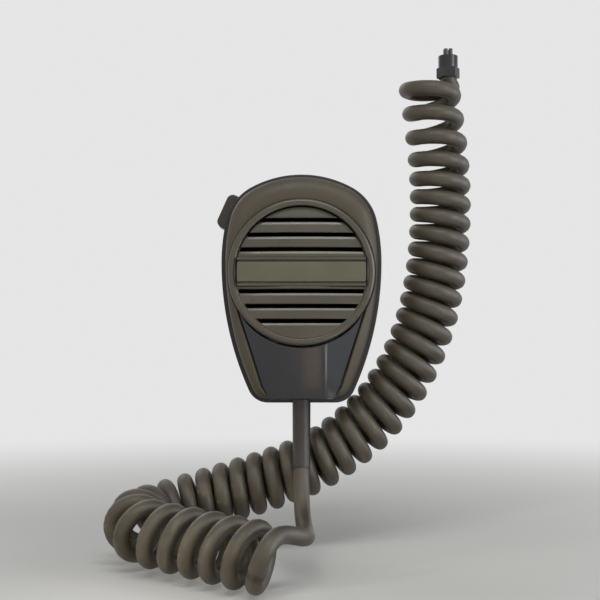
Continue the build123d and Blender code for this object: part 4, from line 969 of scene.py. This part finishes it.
class MIC_OT_grille_cap(bpy.types.Operator):
    """Slotted cap with its rim, slats and the plate's frame"""

    bl_idname = "mic.grille_cap"
    bl_label = "Slotted cap"

    def execute(self, context):
        """One grid. A row crosses the disc at one height, and goes on over the rim, down the skirt and back
        behind the slats, so that the rows close on themselves."""
        scene = context.scene
        cap = scene.mic_cap
        material = moulding("cap_moulding", scene.mic_colours.cap, 0.27, 0.000012, 3200, 0.15, 0.5)
        height, drop, kind = cap_rows(cap)
        z, drop, kind = height[:, None], drop[:, None], kind[:, None]
        on_plate = (kind == 2) | (kind == 3)
        turn = np.arcsin(np.clip(z / cap.slot_radius, -1.0, 1.0))
        half = np.sqrt(np.maximum(cap.slot_radius**2 - z**2, 0.0))
        half = np.where(on_plate, cap.plate_length / 2 + cap.plate_gap, half)
        share = np.linspace(-1.0, 1.0, 61)
        x = share * half
        front = dome_depth(cap, x, z) - drop
        front = np.where(kind == 1, cap.cloth, front)
        front = np.where(kind == 2, cap.frame_front - drop, front)
        front = np.where(kind == 3, cap.plate_back, front)
        ring = [
            (cap.slot_radius, 0.0),
            (cap.slot_radius + 0.00012, 0.0),
            (cap.disc_radius - 0.00005, 0.0),
            (cap.disc_radius + 0.00005, 0.0),
        ]
        rim = [
            (cap.disc_radius + 0.0001, cap.rim - 0.0003),
            (cap.disc_radius + 0.0003, cap.rim - 0.0001),
            (cap.disc_radius + 0.0006, cap.rim),
            (cap.radius - 0.0011, cap.rim),
            (cap.radius - 0.0007, cap.rim - 0.0001),
            (cap.radius - 0.0003, cap.rim - 0.00035),
            (cap.radius - 0.0001, cap.rim - 0.0007),
            (cap.radius, cap.rim - 0.0012),
            (cap.radius, cap.foot),
            (cap.radius - 0.0018, cap.foot),
            (cap.radius - 0.0018, cap.cloth),
        ]
        radius = np.array([r for r, _ in ring + rim])
        side_x = radius * np.cos(turn)
        side_z = radius * np.sin(turn)
        groove_start, groove_full, slot_end, frame_fall = -0.006, 0.014, 0.0004, 0.0001
        upper = ramp(side_z[:, :4], groove_start, groove_full)
        groove = cap.groove * upper * np.array([0.0, 1.0, 1.0, 0.5])
        ring_depth = dome_depth(cap, side_x[:, :4], side_z[:, :4]) - groove
        ring_depth = ring_depth - (kind == 1) * np.array([slot_end, 0.0, 0.0, 0.0])
        ring_depth = np.where(on_plate, cap.frame_front - np.array([0.0, 0.0, 0.0, frame_fall]), ring_depth)
        rim_depth = np.broadcast_to(np.array([d for _, d in rim]), (len(z), len(rim)))
        side_depth = np.hstack([ring_depth, rim_depth])
        side_x[:, 0] = np.where(on_plate[:, 0], np.maximum(half[:, 0], side_x[:, 0]), side_x[:, 0])
        side_z[:, 0] = np.where(on_plate[:, 0], height, side_z[:, 0])
        right = at(side_x, side_depth, side_z)
        left = at(-side_x, side_depth, side_z)[:, ::-1]
        face = at(x, front, np.broadcast_to(z, x.shape))
        back = at(x, np.full_like(x, cap.cloth), np.broadcast_to(z, x.shape))[:, ::-1]
        grid = np.concatenate([left, face, right, back], axis=1)
        grids = [(grid, False, True)]
        make_piece("slotted_cap", grids, material, "microphone", ["grille_cap"])
        return {"FINISHED"}


def rounded_rectangle(width, height, radius, steps=6):
    """Outline of a rectangle with round corners: points and outward normals, anticlockwise."""
    turn = np.concatenate([np.linspace(q, q + 1, steps) * math.pi / 2 for q in range(4)])
    normal = np.stack([np.cos(turn), np.sin(turn)], axis=-1)
    quadrant = np.repeat([(1, 1), (-1, 1), (-1, -1), (1, -1)], steps, axis=0)
    centre = quadrant * (np.array([width, height]) / 2 - radius)
    return centre + radius * normal, normal


def plate_grid(outline, normal, back, front, edge):
    """Grid of a flat plate with a rounded front edge: rings of its outline, closed in the middle."""
    sine, versine = quarter(5)
    inset = np.concatenate([[0.0, 0.0], edge * versine])
    depth = np.concatenate([[back, back], front - edge * (1 - sine)])
    rings = outline - inset[1:, None, None] * normal
    middle = np.tile(outline.mean(axis=0), (1, len(outline), 1))
    return raised(np.concatenate([middle, rings, middle]), np.concatenate([depth, [front]])[:, None])


class MIC_OT_nameplate(bpy.types.Operator):
    """Bare plate in the cap's frame"""

    bl_idname = "mic.nameplate"
    bl_label = "Bare plate"

    def execute(self, context):
        """Rounded rectangle with a small rounded edge. Nothing is written on it."""
        scene = context.scene
        cap = scene.mic_cap
        material = satin_paint("plate_paint", scene.mic_colours.plate)
        corner, edge = 0.0005, 0.00018
        outline, normal = rounded_rectangle(cap.plate_length, cap.plate_height, corner)
        grid = plate_grid(outline, normal, cap.plate_back, cap.plate_front, edge)
        grids = [(grid + np.array([0.0, 0.0, cap.plate_shift]), False, True)]
        make_piece("bare_plate", grids, material, "microphone", ["nameplate"], 50.0)
        return {"FINISHED"}


def chin_depth(chin, cap, x, z):
    """Depth of the shield's face: three planes that meet in soft creases."""
    over = (np.abs(x) - chin.facet_half) / chin.crease
    fall = chin.crease * np.logaddexp(0.0, over)
    return chin.front - chin.slope * (-(cap.radius + cap.gap) - z) - chin.facet_slope * fall


def chin_patch(chin, cap, case, inset, columns=57, rows=41):
    """Shield's outline filled with a grid and moved inwards by inset.

    The foot line and the cap's arc are joined by straight lines, and the difference between each bent side
    and its straight line is added in proportion to how near that side is.
    """
    corner_pull = 1.3
    v = np.linspace(-1.0, 1.0, columns)[None, :]
    t = np.linspace(0.0, 1.0, rows)[:, None]
    foot_z = -(case.bottom - case.rim_step) + inset
    arc = cap.radius + 2 * cap.gap + inset
    top_z = -chin.top_drop - corner_pull * inset
    top_x = math.sqrt(max(arc**2 - top_z**2, 0.0))
    top_x = min(top_x, float(chin_half_width(chin, top_z, -inset)))
    top_turn = math.atan2(top_x, -top_z)
    top = np.stack([arc * np.sin(v * top_turn), -arc * np.cos(v * top_turn)], axis=-1)
    foot_x = float(chin_half_width(chin, foot_z, -inset))
    foot = np.stack([v * foot_x, np.full_like(v, foot_z)], axis=-1)
    patch = foot * (1 - t[..., None]) + top * t[..., None]
    side_z = foot_z + (top[0, -1, 1] - foot_z) * t
    side_x = chin_half_width(chin, side_z, -inset)
    straight = foot_x + (top[0, -1, 0] - foot_x) * t
    patch[..., 0] += v * np.abs(v) ** 3 * (side_x - straight)
    return patch


class MIC_OT_chin_panel(bpy.types.Operator):
    """Glossy shield of three facets below the cap"""

    bl_idname = "mic.chin_panel"
    bl_label = "Shield"

    def execute(self, context):
        """Face and back fill the outline with a grid, and rings along its border round the edge off."""
        scene = context.scene
        case, cap, chin = scene.mic_case, scene.mic_cap, scene.mic_chin
        material = gloss_moulding("shield_gloss", scene.mic_colours.chin)
        face = chin_patch(chin, cap, case, chin.edge)
        outer = chin_patch(chin, cap, case, 0.0)
        face_depth = chin_depth(chin, cap, face[..., 0], face[..., 1])

        def border(values):
            """Values along the border of a grid, once round."""
            return np.concatenate([values[0], values[1:, -1], values[-1, -2::-1], values[-2:0:-1, 0]])

        inner_line, outer_line = border(face), border(outer)
        inner_depth = border(face_depth)
        sine, versine = quarter(6)
        ring = inner_line + sine[:, None, None] * (outer_line - inner_line)
        ring_depth = inner_depth - chin.edge * versine[:, None]
        ring = np.concatenate([ring, ring[-1:]])
        ring_depth = np.concatenate([ring_depth, np.full((1, len(inner_depth)), chin.recess)])
        grids = [
            (raised(face, face_depth), False, False),
            (raised(outer, chin.recess), False, False),
            (raised(ring, ring_depth), False, True),
        ]
        make_piece("shield", grids, material, "microphone", ["chin_panel"], 50.0)
        return {"FINISHED"}


def smooth_route(points, per_run):
    """Points on the open NURBS line of order 3 that has the given control points."""
    curve = bpy.data.curves.new("route", "CURVE")
    curve.dimensions = "3D"
    curve.resolution_u = per_run
    spline = curve.splines.new("NURBS")
    spline.points.add(len(points) - 1)
    spline.points.foreach_set("co", np.column_stack([points, np.ones(len(points))]).ravel())
    spline.order_u = 3
    spline.use_endpoint_u = True
    spline.resolution_u = per_run
    holder = bpy.data.objects.new("route", curve)
    mesh = bpy.data.meshes.new_from_object(holder)
    line = np.empty(3 * len(mesh.vertices))
    mesh.vertices.foreach_get("co", line)
    bpy.data.objects.remove(holder)
    bpy.data.curves.remove(curve)
    bpy.data.meshes.remove(mesh)
    return line.reshape(-1, 3)


def walked(line):
    """Distance along a line at each of its points."""
    return np.concatenate([[0.0], np.cumsum(np.linalg.norm(np.diff(line, axis=0), axis=1))])


def along_line(line, distance):
    """Places at given distances along a line."""
    steps = walked(line)
    return np.stack([np.interp(distance, steps, line[:, axis]) for axis in range(3)], axis=-1)


def unit(vectors):
    """Vectors made one long."""
    return vectors / np.linalg.norm(vectors, axis=-1, keepdims=True)


def cross_frame(line, aside):
    """Direction of a line, and two directions square to it, the first one nearest to a fixed vector."""
    way = unit(np.gradient(line, axis=0))
    first = unit(np.asarray(aside) - (way @ aside)[:, None] * way)
    return way, first, np.cross(way, first)


def round_tube(line, radius, sides, aside):
    """Grid of a round tube along a line: each ring is the line's point plus radius times cosine and sine of
    the turn on two directions square to the line. The rings at the ends shrink to a point."""
    way, first, second = cross_frame(line, aside)
    turn = np.linspace(0.0, 2 * math.pi, sides, endpoint=False)[:, None]
    radius = np.broadcast_to(radius, len(line))[:, None, None]
    rings = line[:, None] + radius * (np.cos(turn) * first[:, None] + np.sin(turn) * second[:, None])
    ends = [np.repeat(line[[end], None], sides, axis=1) for end in (0, -1)]
    return np.concatenate([ends[0], rings, ends[1]])


def coil_line(cord):
    """Middle of the coiled cord.

    The angle grows by a full turn for each spacing walked along the axis, and the cord's middle is the axis
    plus the helix radius times cosine and sine of that angle on two directions square to the axis. At the
    upper end the radius shrinks and the line bends over to the ferrule.
    """
    axis = smooth_route(COIL_ROUTE, 56)
    total = walked(axis)[-1]
    shares = np.linspace(0.0, 1.0, 4001)
    spacing = np.interp(shares, list(TURN_SPACING), list(TURN_SPACING.values()))
    step_turns = 0.5 * (1 / spacing[1:] + 1 / spacing[:-1]) * total / (len(shares) - 1)
    turns_table = np.concatenate([[0.0], np.cumsum(step_turns)])
    count = int(turns_table[-1] * cord.turn_points)
    turns = np.linspace(0.0, turns_table[-1], count)
    middle = along_line(axis, np.interp(turns, turns_table, shares) * total)
    way, first, second = cross_frame(middle, COIL_ASIDE)
    upright = np.array([0.0, 0.0, 1.0])
    start = math.atan2(upright @ second[0], upright @ first[0])
    angle = start - 2 * math.pi * turns
    reach = cord.helix_radius - FIRST_TURN_TUCK * ramp(turns, TUCK_TURNS, 0.0)
    offset = reach[:, None] * (np.cos(angle)[:, None] * first + np.sin(angle)[:, None] * second)
    share = np.interp(turns, turns_table, shares)
    fade = ramp(share, LEAN_END, LEAN_START)
    first_turn = ramp(share, FIRST_TURN_SHARE, 0.0)
    lean = offset @ np.array(TURN_LEAN) * fade + offset @ np.array(FIRST_TURN_LEAN) * first_turn
    line = middle + offset + way * lean[:, None]
    left = unit(line - middle)[:, 0]
    keep = count - 1 - int(np.argmin(left[: -cord.turn_points - 2 : -1]))
    run_out = line[keep] + RUN_OUT * unit(line[keep] - line[keep - 1])
    tail = smooth_route([line[keep], run_out, *TAIL_ROUTE], 8)
    return np.vstack([line[:keep], tail])


class MIC_OT_cords(bpy.types.Operator):
    """Cord: the free lead below the strain relief and the coiled stretch up to the ferrule"""

    bl_idname = "mic.cords"
    bl_label = "Cord"

    def execute(self, context):
        """Round tubes along the lead's own line and along the coil's line."""
        scene = context.scene
        cord = scene.mic_cord
        material = jacket("cord_jacket", scene.mic_colours.cord)
        line = coil_line(cord)
        start, into = line[0], unit(line[1] - line[0])
        lead_line = smooth_route([*LEAD_ROUTE, start - RUN_OUT * into, start], 14)
        grid = round_tube(lead_line, cord.diameter / 2, cord.sides, LEAD_ASIDE)
        lead = make_piece("lead", [(grid, False, True)], material, None, ["cord_lead"], 60.0)
        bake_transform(lead)
        grids = [(round_tube(line, cord.diameter / 2, cord.sides, CORD_ASIDE), False, True)]
        nodes = ["cord_coil", "cord_tail"]
        coil = make_piece("coiled_cord", grids, material, "hanger", nodes, 60.0)
        return {"FINISHED"}


class MIC_OT_strain_relief(bpy.types.Operator):
    """Tapered strain relief below the case"""

    bl_idname = "mic.strain_relief"
    bl_label = "Strain relief"

    def execute(self, context):
        """Tube along an arc that leans forwards, its radius falling from root to tip, with a rounded lip."""
        scene = context.scene
        case, cord = scene.mic_case, scene.mic_cord
        material = moulding("relief_moulding", scene.mic_colours.relief, 0.4, 0.00001, 2200)
        lean = 2 * math.atan2(cord.relief_lean, cord.relief_drop)
        sweep = cord.relief_drop / math.sin(lean)
        turn = np.linspace(0.0, lean, 40)
        depth = case.parting + sweep * (1 - np.cos(turn))
        z = -case.bottom - sweep * np.sin(turn)
        line = np.vstack([[0.0, -case.parting, case.wall - case.bottom], at(0.0, depth, z)])
        share = np.concatenate([[0.0], turn / lean])
        radius = cord.relief_root + (cord.relief_tip - cord.relief_root) * share
        lip, lip_share = 0.00035, 0.97
        radius = radius - lip * (1 - np.sqrt(1 - ramp(share, lip_share, 1.0) ** 2))
        grids = [(round_tube(line, radius, 40, (1.0, 0.0, 0.0)), False, True)]
        make_piece("relief", grids, material, "microphone", ["strain_relief"])
        return {"FINISHED"}


class MIC_OT_return_spring(bpy.types.Operator):
    """Spring below the talk button, which the button presses shorter as it goes in; here it is made only at
    its rest length.
    """

    bl_idname = "mic.return_spring"
    bl_label = "Return spring"

    def execute(self, context):
        """Round wire along a helix: the height grows evenly with the turn, and the other two coordinates are
        the radius times the turn's cosine and sine."""
        origin, along, outward = talk_frame(context.scene.mic_case)
        low = SPRING_SEAT + SPRING_WIRE + SPRING_SLIP
        high = SPRING_TOP - SPRING_WIRE - SPRING_SLIP
        turn_points = 24
        share = np.linspace(0.0, 1.0, turn_points * SPRING_TURNS + 1)[:, None]
        turn = 2 * math.pi * SPRING_TURNS * share
        sideways = np.cos(turn) * along + np.sin(turn) * np.cross(outward, along)
        line = origin + outward * (low + (high - low) * share) + SPRING_RADIUS * sideways
        material = metal("return_spring_steel", (0.62, 0.62, 0.62), 0.25, 2000)
        grids = [(round_tube(line, SPRING_WIRE, 10, outward), False, True)]
        nodes = ["ptt_spring"]
        spring = make_piece("return_spring", grids, material, "microphone", nodes, 60.0)
        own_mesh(spring)
        return {"FINISHED"}


BLACK, BROWN = (0.12, 0.12, 0.12), (0.3, 0.24, 0.18)

# Finishes of the carried-over pieces: kind, name, colour or its property, other values, and the pieces
FINISHES = [
    (moulding, "button_moulding", "button", (0.4, 0.000012), "ptt_button"),
    # The carried-over rear case gets the same rim colour, which is partly painted shade
    (moulding, "case_moulding", "rim", (0.5,), "rear_case"),
    (moulding, "band_core", "band", (0.5,), "front_case"),
    (moulding, "cap_core", "cap", (0.4,), "grille_cap"),
    (satin_paint, "plate_core", "plate", (), "nameplate"),
    (gloss_moulding, "shield_core", "chin", (), "chin_panel"),
    (moulding, "relief_core", "relief", (0.4,), "strain_relief"),
    (jacket, "inner_jacket", "cord", (), "cord_inlet cord_lead cord_coil cord_tail"),
    (metal, "zinc_plate", (0.76, 0.76, 0.77), (0.24, 700), "hanger hang_button_nut switch_bracket"),
    (metal, "screw_steel", (0.72, 0.72, 0.73), (0.28, 1500), "case_screws board_screws"),
    (metal, "small_screw_steel", (0.7, 0.7, 0.7), (0.3, 1500), "bracket_screws clamp_screws"),
    (metal, "button_stud_steel", (0.7, 0.7, 0.72), (0.22, 900), "hang_button hang_button_screw"),
    (metal, "dark_nickel", (0.26, 0.25, 0.25), (0.22, 600), "cord_ferrule"),
    (metal, "spring_steel", (0.62, 0.62, 0.62), (0.25, 2000), "ptt_spring"),
    (metal, "iron", (0.5, 0.49, 0.48), (0.4, 500), "magnet_yoke pole_piece magnet"),
    (metal, "satin_aluminium", (0.78, 0.78, 0.79), (0.32, 600), "cartridge_case cord_clamp"),
    (metal, "cover_steel", (0.6, 0.6, 0.6), (0.35, 900), "cartridge_cover"),
    (metal, "bare_copper", (0.85, 0.5, 0.34), (0.25, 2600), "voice_coil cartridge_terminals switch_terminals"),
    (woven_cloth, "grille_weave", (0.36, 0.35, 0.33), (), "grille_cloth"),
    (open_foam, "grey_foam", (0.2, 0.2, 0.2), (), "foam_pad"),
    (moulding, "black_moulding", BLACK, (0.45,), "baffle cartridge_spacer switch_body switch_plunger"),
    (jacket, "boot_rubber", (0.13, 0.13, 0.13), (0.6,), "cartridge_boot"),
    (gloss_moulding, "diaphragm_film", (0.65, 0.6, 0.48), (), "diaphragm"),
    (board_laminate, "board_lacquer", (0.12, 0.34, 0.2), (), "circuit_board"),
    (moulding, "component_moulding", BROWN, (0.35,), "board_capacitors board_resistors board_transistor"),
    (jacket, "red_insulation", (0.7, 0.1, 0.1), (0.35,), "lead_wire_red"),
    (jacket, "white_insulation", (0.85, 0.85, 0.83), (0.35,), "lead_wire_white"),
    (jacket, "black_insulation", (0.1, 0.1, 0.1), (0.35,), "lead_wire_black"),
    (jacket, "green_insulation", (0.1, 0.5, 0.2), (0.35,), "lead_wire_green"),
    (jacket, "pair_insulation", (0.2, 0.2, 0.22), (0.35,), "cartridge_wires conductor_ends"),
]


def dress(material, nodes):
    """Gives carried-over pieces a material in place of the plain one they came with."""
    for node in nodes:
        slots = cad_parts[node].data.materials
        if not slots:
            slots.append(material)
        for index in range(len(slots)):
            slots[index] = material


class MIC_OT_carried_over(bpy.types.Operator):
    """Materials of the button, the metal parts, the screws and everything inside the case"""

    bl_idname = "mic.carried_over"
    bl_label = "Button, metal and inner parts"

    def execute(self, context):
        """One material for each row of the table, given to every piece that the row names."""
        for kind, name, shade, values, nodes in FINISHES:
            if isinstance(shade, str):
                shade = getattr(context.scene.mic_colours, shade)
            dress(kind(name, shade, *values), nodes.split())
        return {"FINISHED"}


def aimed_lamp(name, place, target, size, power, shade=(1, 1, 1), diffuse=True, glossy=True, spread=180):
    """Rectangular lamp at a place, turned to a target.

    Without diffuse it lights nothing and only shows in gloss. Without glossy it lights but doesn't show there.
    A spread below 180 degrees narrows its beam.
    """
    light = bpy.data.lights.new(name, "AREA")
    light.shape = "RECTANGLE"
    light.size, light.size_y = size
    light.energy = power
    light.color = shade
    light.spread = math.radians(spread)
    lamp = bpy.data.objects.new(name, light)
    lamp.location = place
    lamp.visible_camera = False
    lamp.visible_diffuse = diffuse
    lamp.visible_glossy = glossy
    lamp.rotation_euler = (Vector(target) - Vector(place)).to_track_quat("-Z", "Y").to_euler()
    bpy.context.scene.collection.objects.link(lamp)


class MIC_OT_stage(bpy.types.Operator):
    """Camera, lamps, pale floor and backdrop"""

    bl_idname = "mic.stage"
    bl_label = "Stage"

    def execute(self, context):
        """Floor just below the coil, lamps, cards that only show as reflections, and a world that lights the
        object with the ambient strength and shows with full strength to the camera and in gloss."""
        scene = context.scene
        stage = scene.mic_stage
        scene.view_settings.view_transform = "Standard"
        camera = bpy.data.objects.new("camera", bpy.data.cameras.new("camera"))
        camera.data.lens = stage.lens
        camera.data.sensor_width = 36.0
        camera.location = stage.camera_place
        camera.rotation_euler = Vector(stage.camera_aim).to_track_quat("-Z", "Y").to_euler()
        scene.collection.objects.link(camera)
        scene.camera = camera
        level = min(cad_low[2], stage.lowest) - stage.floor_gap
        half_floor, near, far = 3.0, 0.05, 0.6
        reach = np.linspace(-half_floor, half_floor, 3)
        across, deep = np.meshgrid(reach, reach)
        mesh = bpy.data.meshes.new("floor")
        points = np.stack([across, deep, np.full_like(across, level)], axis=-1).reshape(-1, 3)
        mesh.from_pydata(points, [], grid_faces(3, 3, False, False).tolist())
        paint = Finish("floor_paint", {"Roughness": 0.75, "Specular IOR Level": 0.0, "Emission Strength": 1.0})
        away = paint.node("ShaderNodeVectorMath", {"operation": "LENGTH"}, {0: paint.place()}, output=1)
        soft = {"interpolation_type": "SMOOTHSTEP"}
        fade = paint.node("ShaderNodeMapRange", soft, {"Value": away, "From Min": near, "From Max": far})
        shade, black = linear(stage.floor), (0.0, 0.0, 0.0, 1.0)
        paint.drive(
            {
                "Base Color": paint.mix(fade, shade, black),
                "Emission Color": paint.mix(fade, black, linear(stage.backdrop)),
            }
        )
        mesh.materials.append(paint.material)
        floor = bpy.data.objects.new("floor", mesh)
        scene.collection.objects.link(floor)
        middle, foot = (0.0, 0.0, 0.0), (-0.03, -0.06, -0.06)
        warm, beam = (1.0, 0.95, 0.85), {"glossy": False, "spread": 11.0}
        aimed_lamp("key", (0.06, -0.66, 0.7), middle, (0.7, 0.2), stage.key)
        aimed_lamp("fill", (-0.25, -0.74, -0.02), foot, (0.4, 0.12), stage.fill, warm, glossy=False)
        front_turns = (-0.035, -0.07, -0.098)
        aimed_lamp("turns", (-0.45, -0.45, -0.03), front_turns, (0.06, 0.04), stage.turns, warm, **beam)
        aimed_lamp("side", (0.6, -0.35, 0.1), (0.0, -0.02, -0.01), (0.12, 0.5), stage.side)
        aimed_lamp("back", (-0.45, 0.75, 0.55), middle, (0.5, 0.5), stage.back)
        # Name, place, size, brightness and colour of each card
        cards = [
            ("facet_card", (0.118, -0.212, -0.106), (0.065, 0.09), 0.2, (0.8, 0.88, 1.0)),
            ("crease_card", (0.058, -0.235, -0.106), (0.03, 0.09), 1.7, (1.0, 1.0, 1.0)),
            ("brown_card", (0.0065, -0.225, -0.106), (0.011, 0.08), 0.7, (1.0, 0.66, 0.32)),
            ("slat_card", (0.052, -0.1, -0.106), (0.035, 0.06), 2.5, (0.9, 0.95, 1.0)),
            ("window_card", (0.34, -0.26, 0.0), (0.2, 0.4), 1.5, (0.85, 0.92, 1.0)),
            ("flank_card", (0.42, 0.03, 0.02), (0.1, 0.22), 4.0, (0.85, 0.9, 1.0)),
        ]
        for name, place, size, strength, shade in cards:
            power = stage.card * strength * math.pi * math.prod(size)
            aimed_lamp(name, place, (0.0, -0.036, -0.02), size, power, shade, diffuse=False)
        scene.world = bpy.data.worlds.new("studio")
        scene.world.use_nodes = True
        sky = Nodes(scene.world.node_tree)
        kinds = ("Camera", "Glossy", "Transmission")
        camera_ray, glossy_ray, clear_ray = [
            sky.node("ShaderNodeLightPath", output=f"Is {kind} Ray") for kind in kinds
        ]
        seen = camera_ray.or_more(glossy_ray.or_more(clear_ray))
        span = {"Value": seen, "To Min": stage.ambient, "To Max": 1.0}
        background = sky.tree.nodes["Background"]
        sky.feed(background.inputs["Color"], linear(stage.backdrop))
        sky.feed(background.inputs["Strength"], sky.node("ShaderNodeMapRange", inputs=span))
        return {"FINISHED"}


OPERATORS = [
    MIC_OT_stage,
    MIC_OT_cords,
    MIC_OT_rear_shell,
    MIC_OT_front_shell,
    MIC_OT_grille_cap,
    MIC_OT_nameplate,
    MIC_OT_chin_panel,
    MIC_OT_strain_relief,
    MIC_OT_return_spring,
    MIC_OT_carried_over,
]


class MIC_PT_panel(bpy.types.Panel):
    """Lists the pieces and their sizes in the sidebar"""

    bl_idname = "MIC_PT_panel"
    bl_label = "Paging Microphone"
    bl_space_type = "VIEW_3D"
    bl_region_type = "UI"
    bl_category = "Paging Microphone"

    def draw(self, context):
        """One button for each operator, then the properties of each group."""
        for operator in OPERATORS:
            self.layout.operator(operator.bl_idname)
        for name, group in GROUPS.items():
            box = self.layout.box()
            for key in group.__annotations__:
                box.prop(getattr(context.scene, name), key)


def register():
    """Registers the groups, the operators and the panel."""
    for name, group in GROUPS.items():
        bpy.utils.register_class(group)
        setattr(bpy.types.Scene, name, PointerProperty(type=group))
    for operator in OPERATORS:
        bpy.utils.register_class(operator)
    bpy.utils.register_class(MIC_PT_panel)


def unregister():
    """Takes the panel, the operators and the groups out again."""
    bpy.utils.unregister_class(MIC_PT_panel)
    for operator in reversed(OPERATORS):
        bpy.utils.unregister_class(operator)
    for name, group in GROUPS.items():
        delattr(bpy.types.Scene, name)
        bpy.utils.unregister_class(group)


def main():
    """Makes the stage and every piece in order."""
    register()
    bpy.ops.mic.stage()
    bpy.ops.mic.cords()
    bpy.ops.mic.rear_shell()
    bpy.ops.mic.front_shell()
    bpy.ops.mic.grille_cap()
    bpy.ops.mic.nameplate()
    bpy.ops.mic.chin_panel()
    bpy.ops.mic.strain_relief()
    bpy.ops.mic.return_spring()
    bpy.ops.mic.carried_over()


if __name__ == "__main__":
    main()
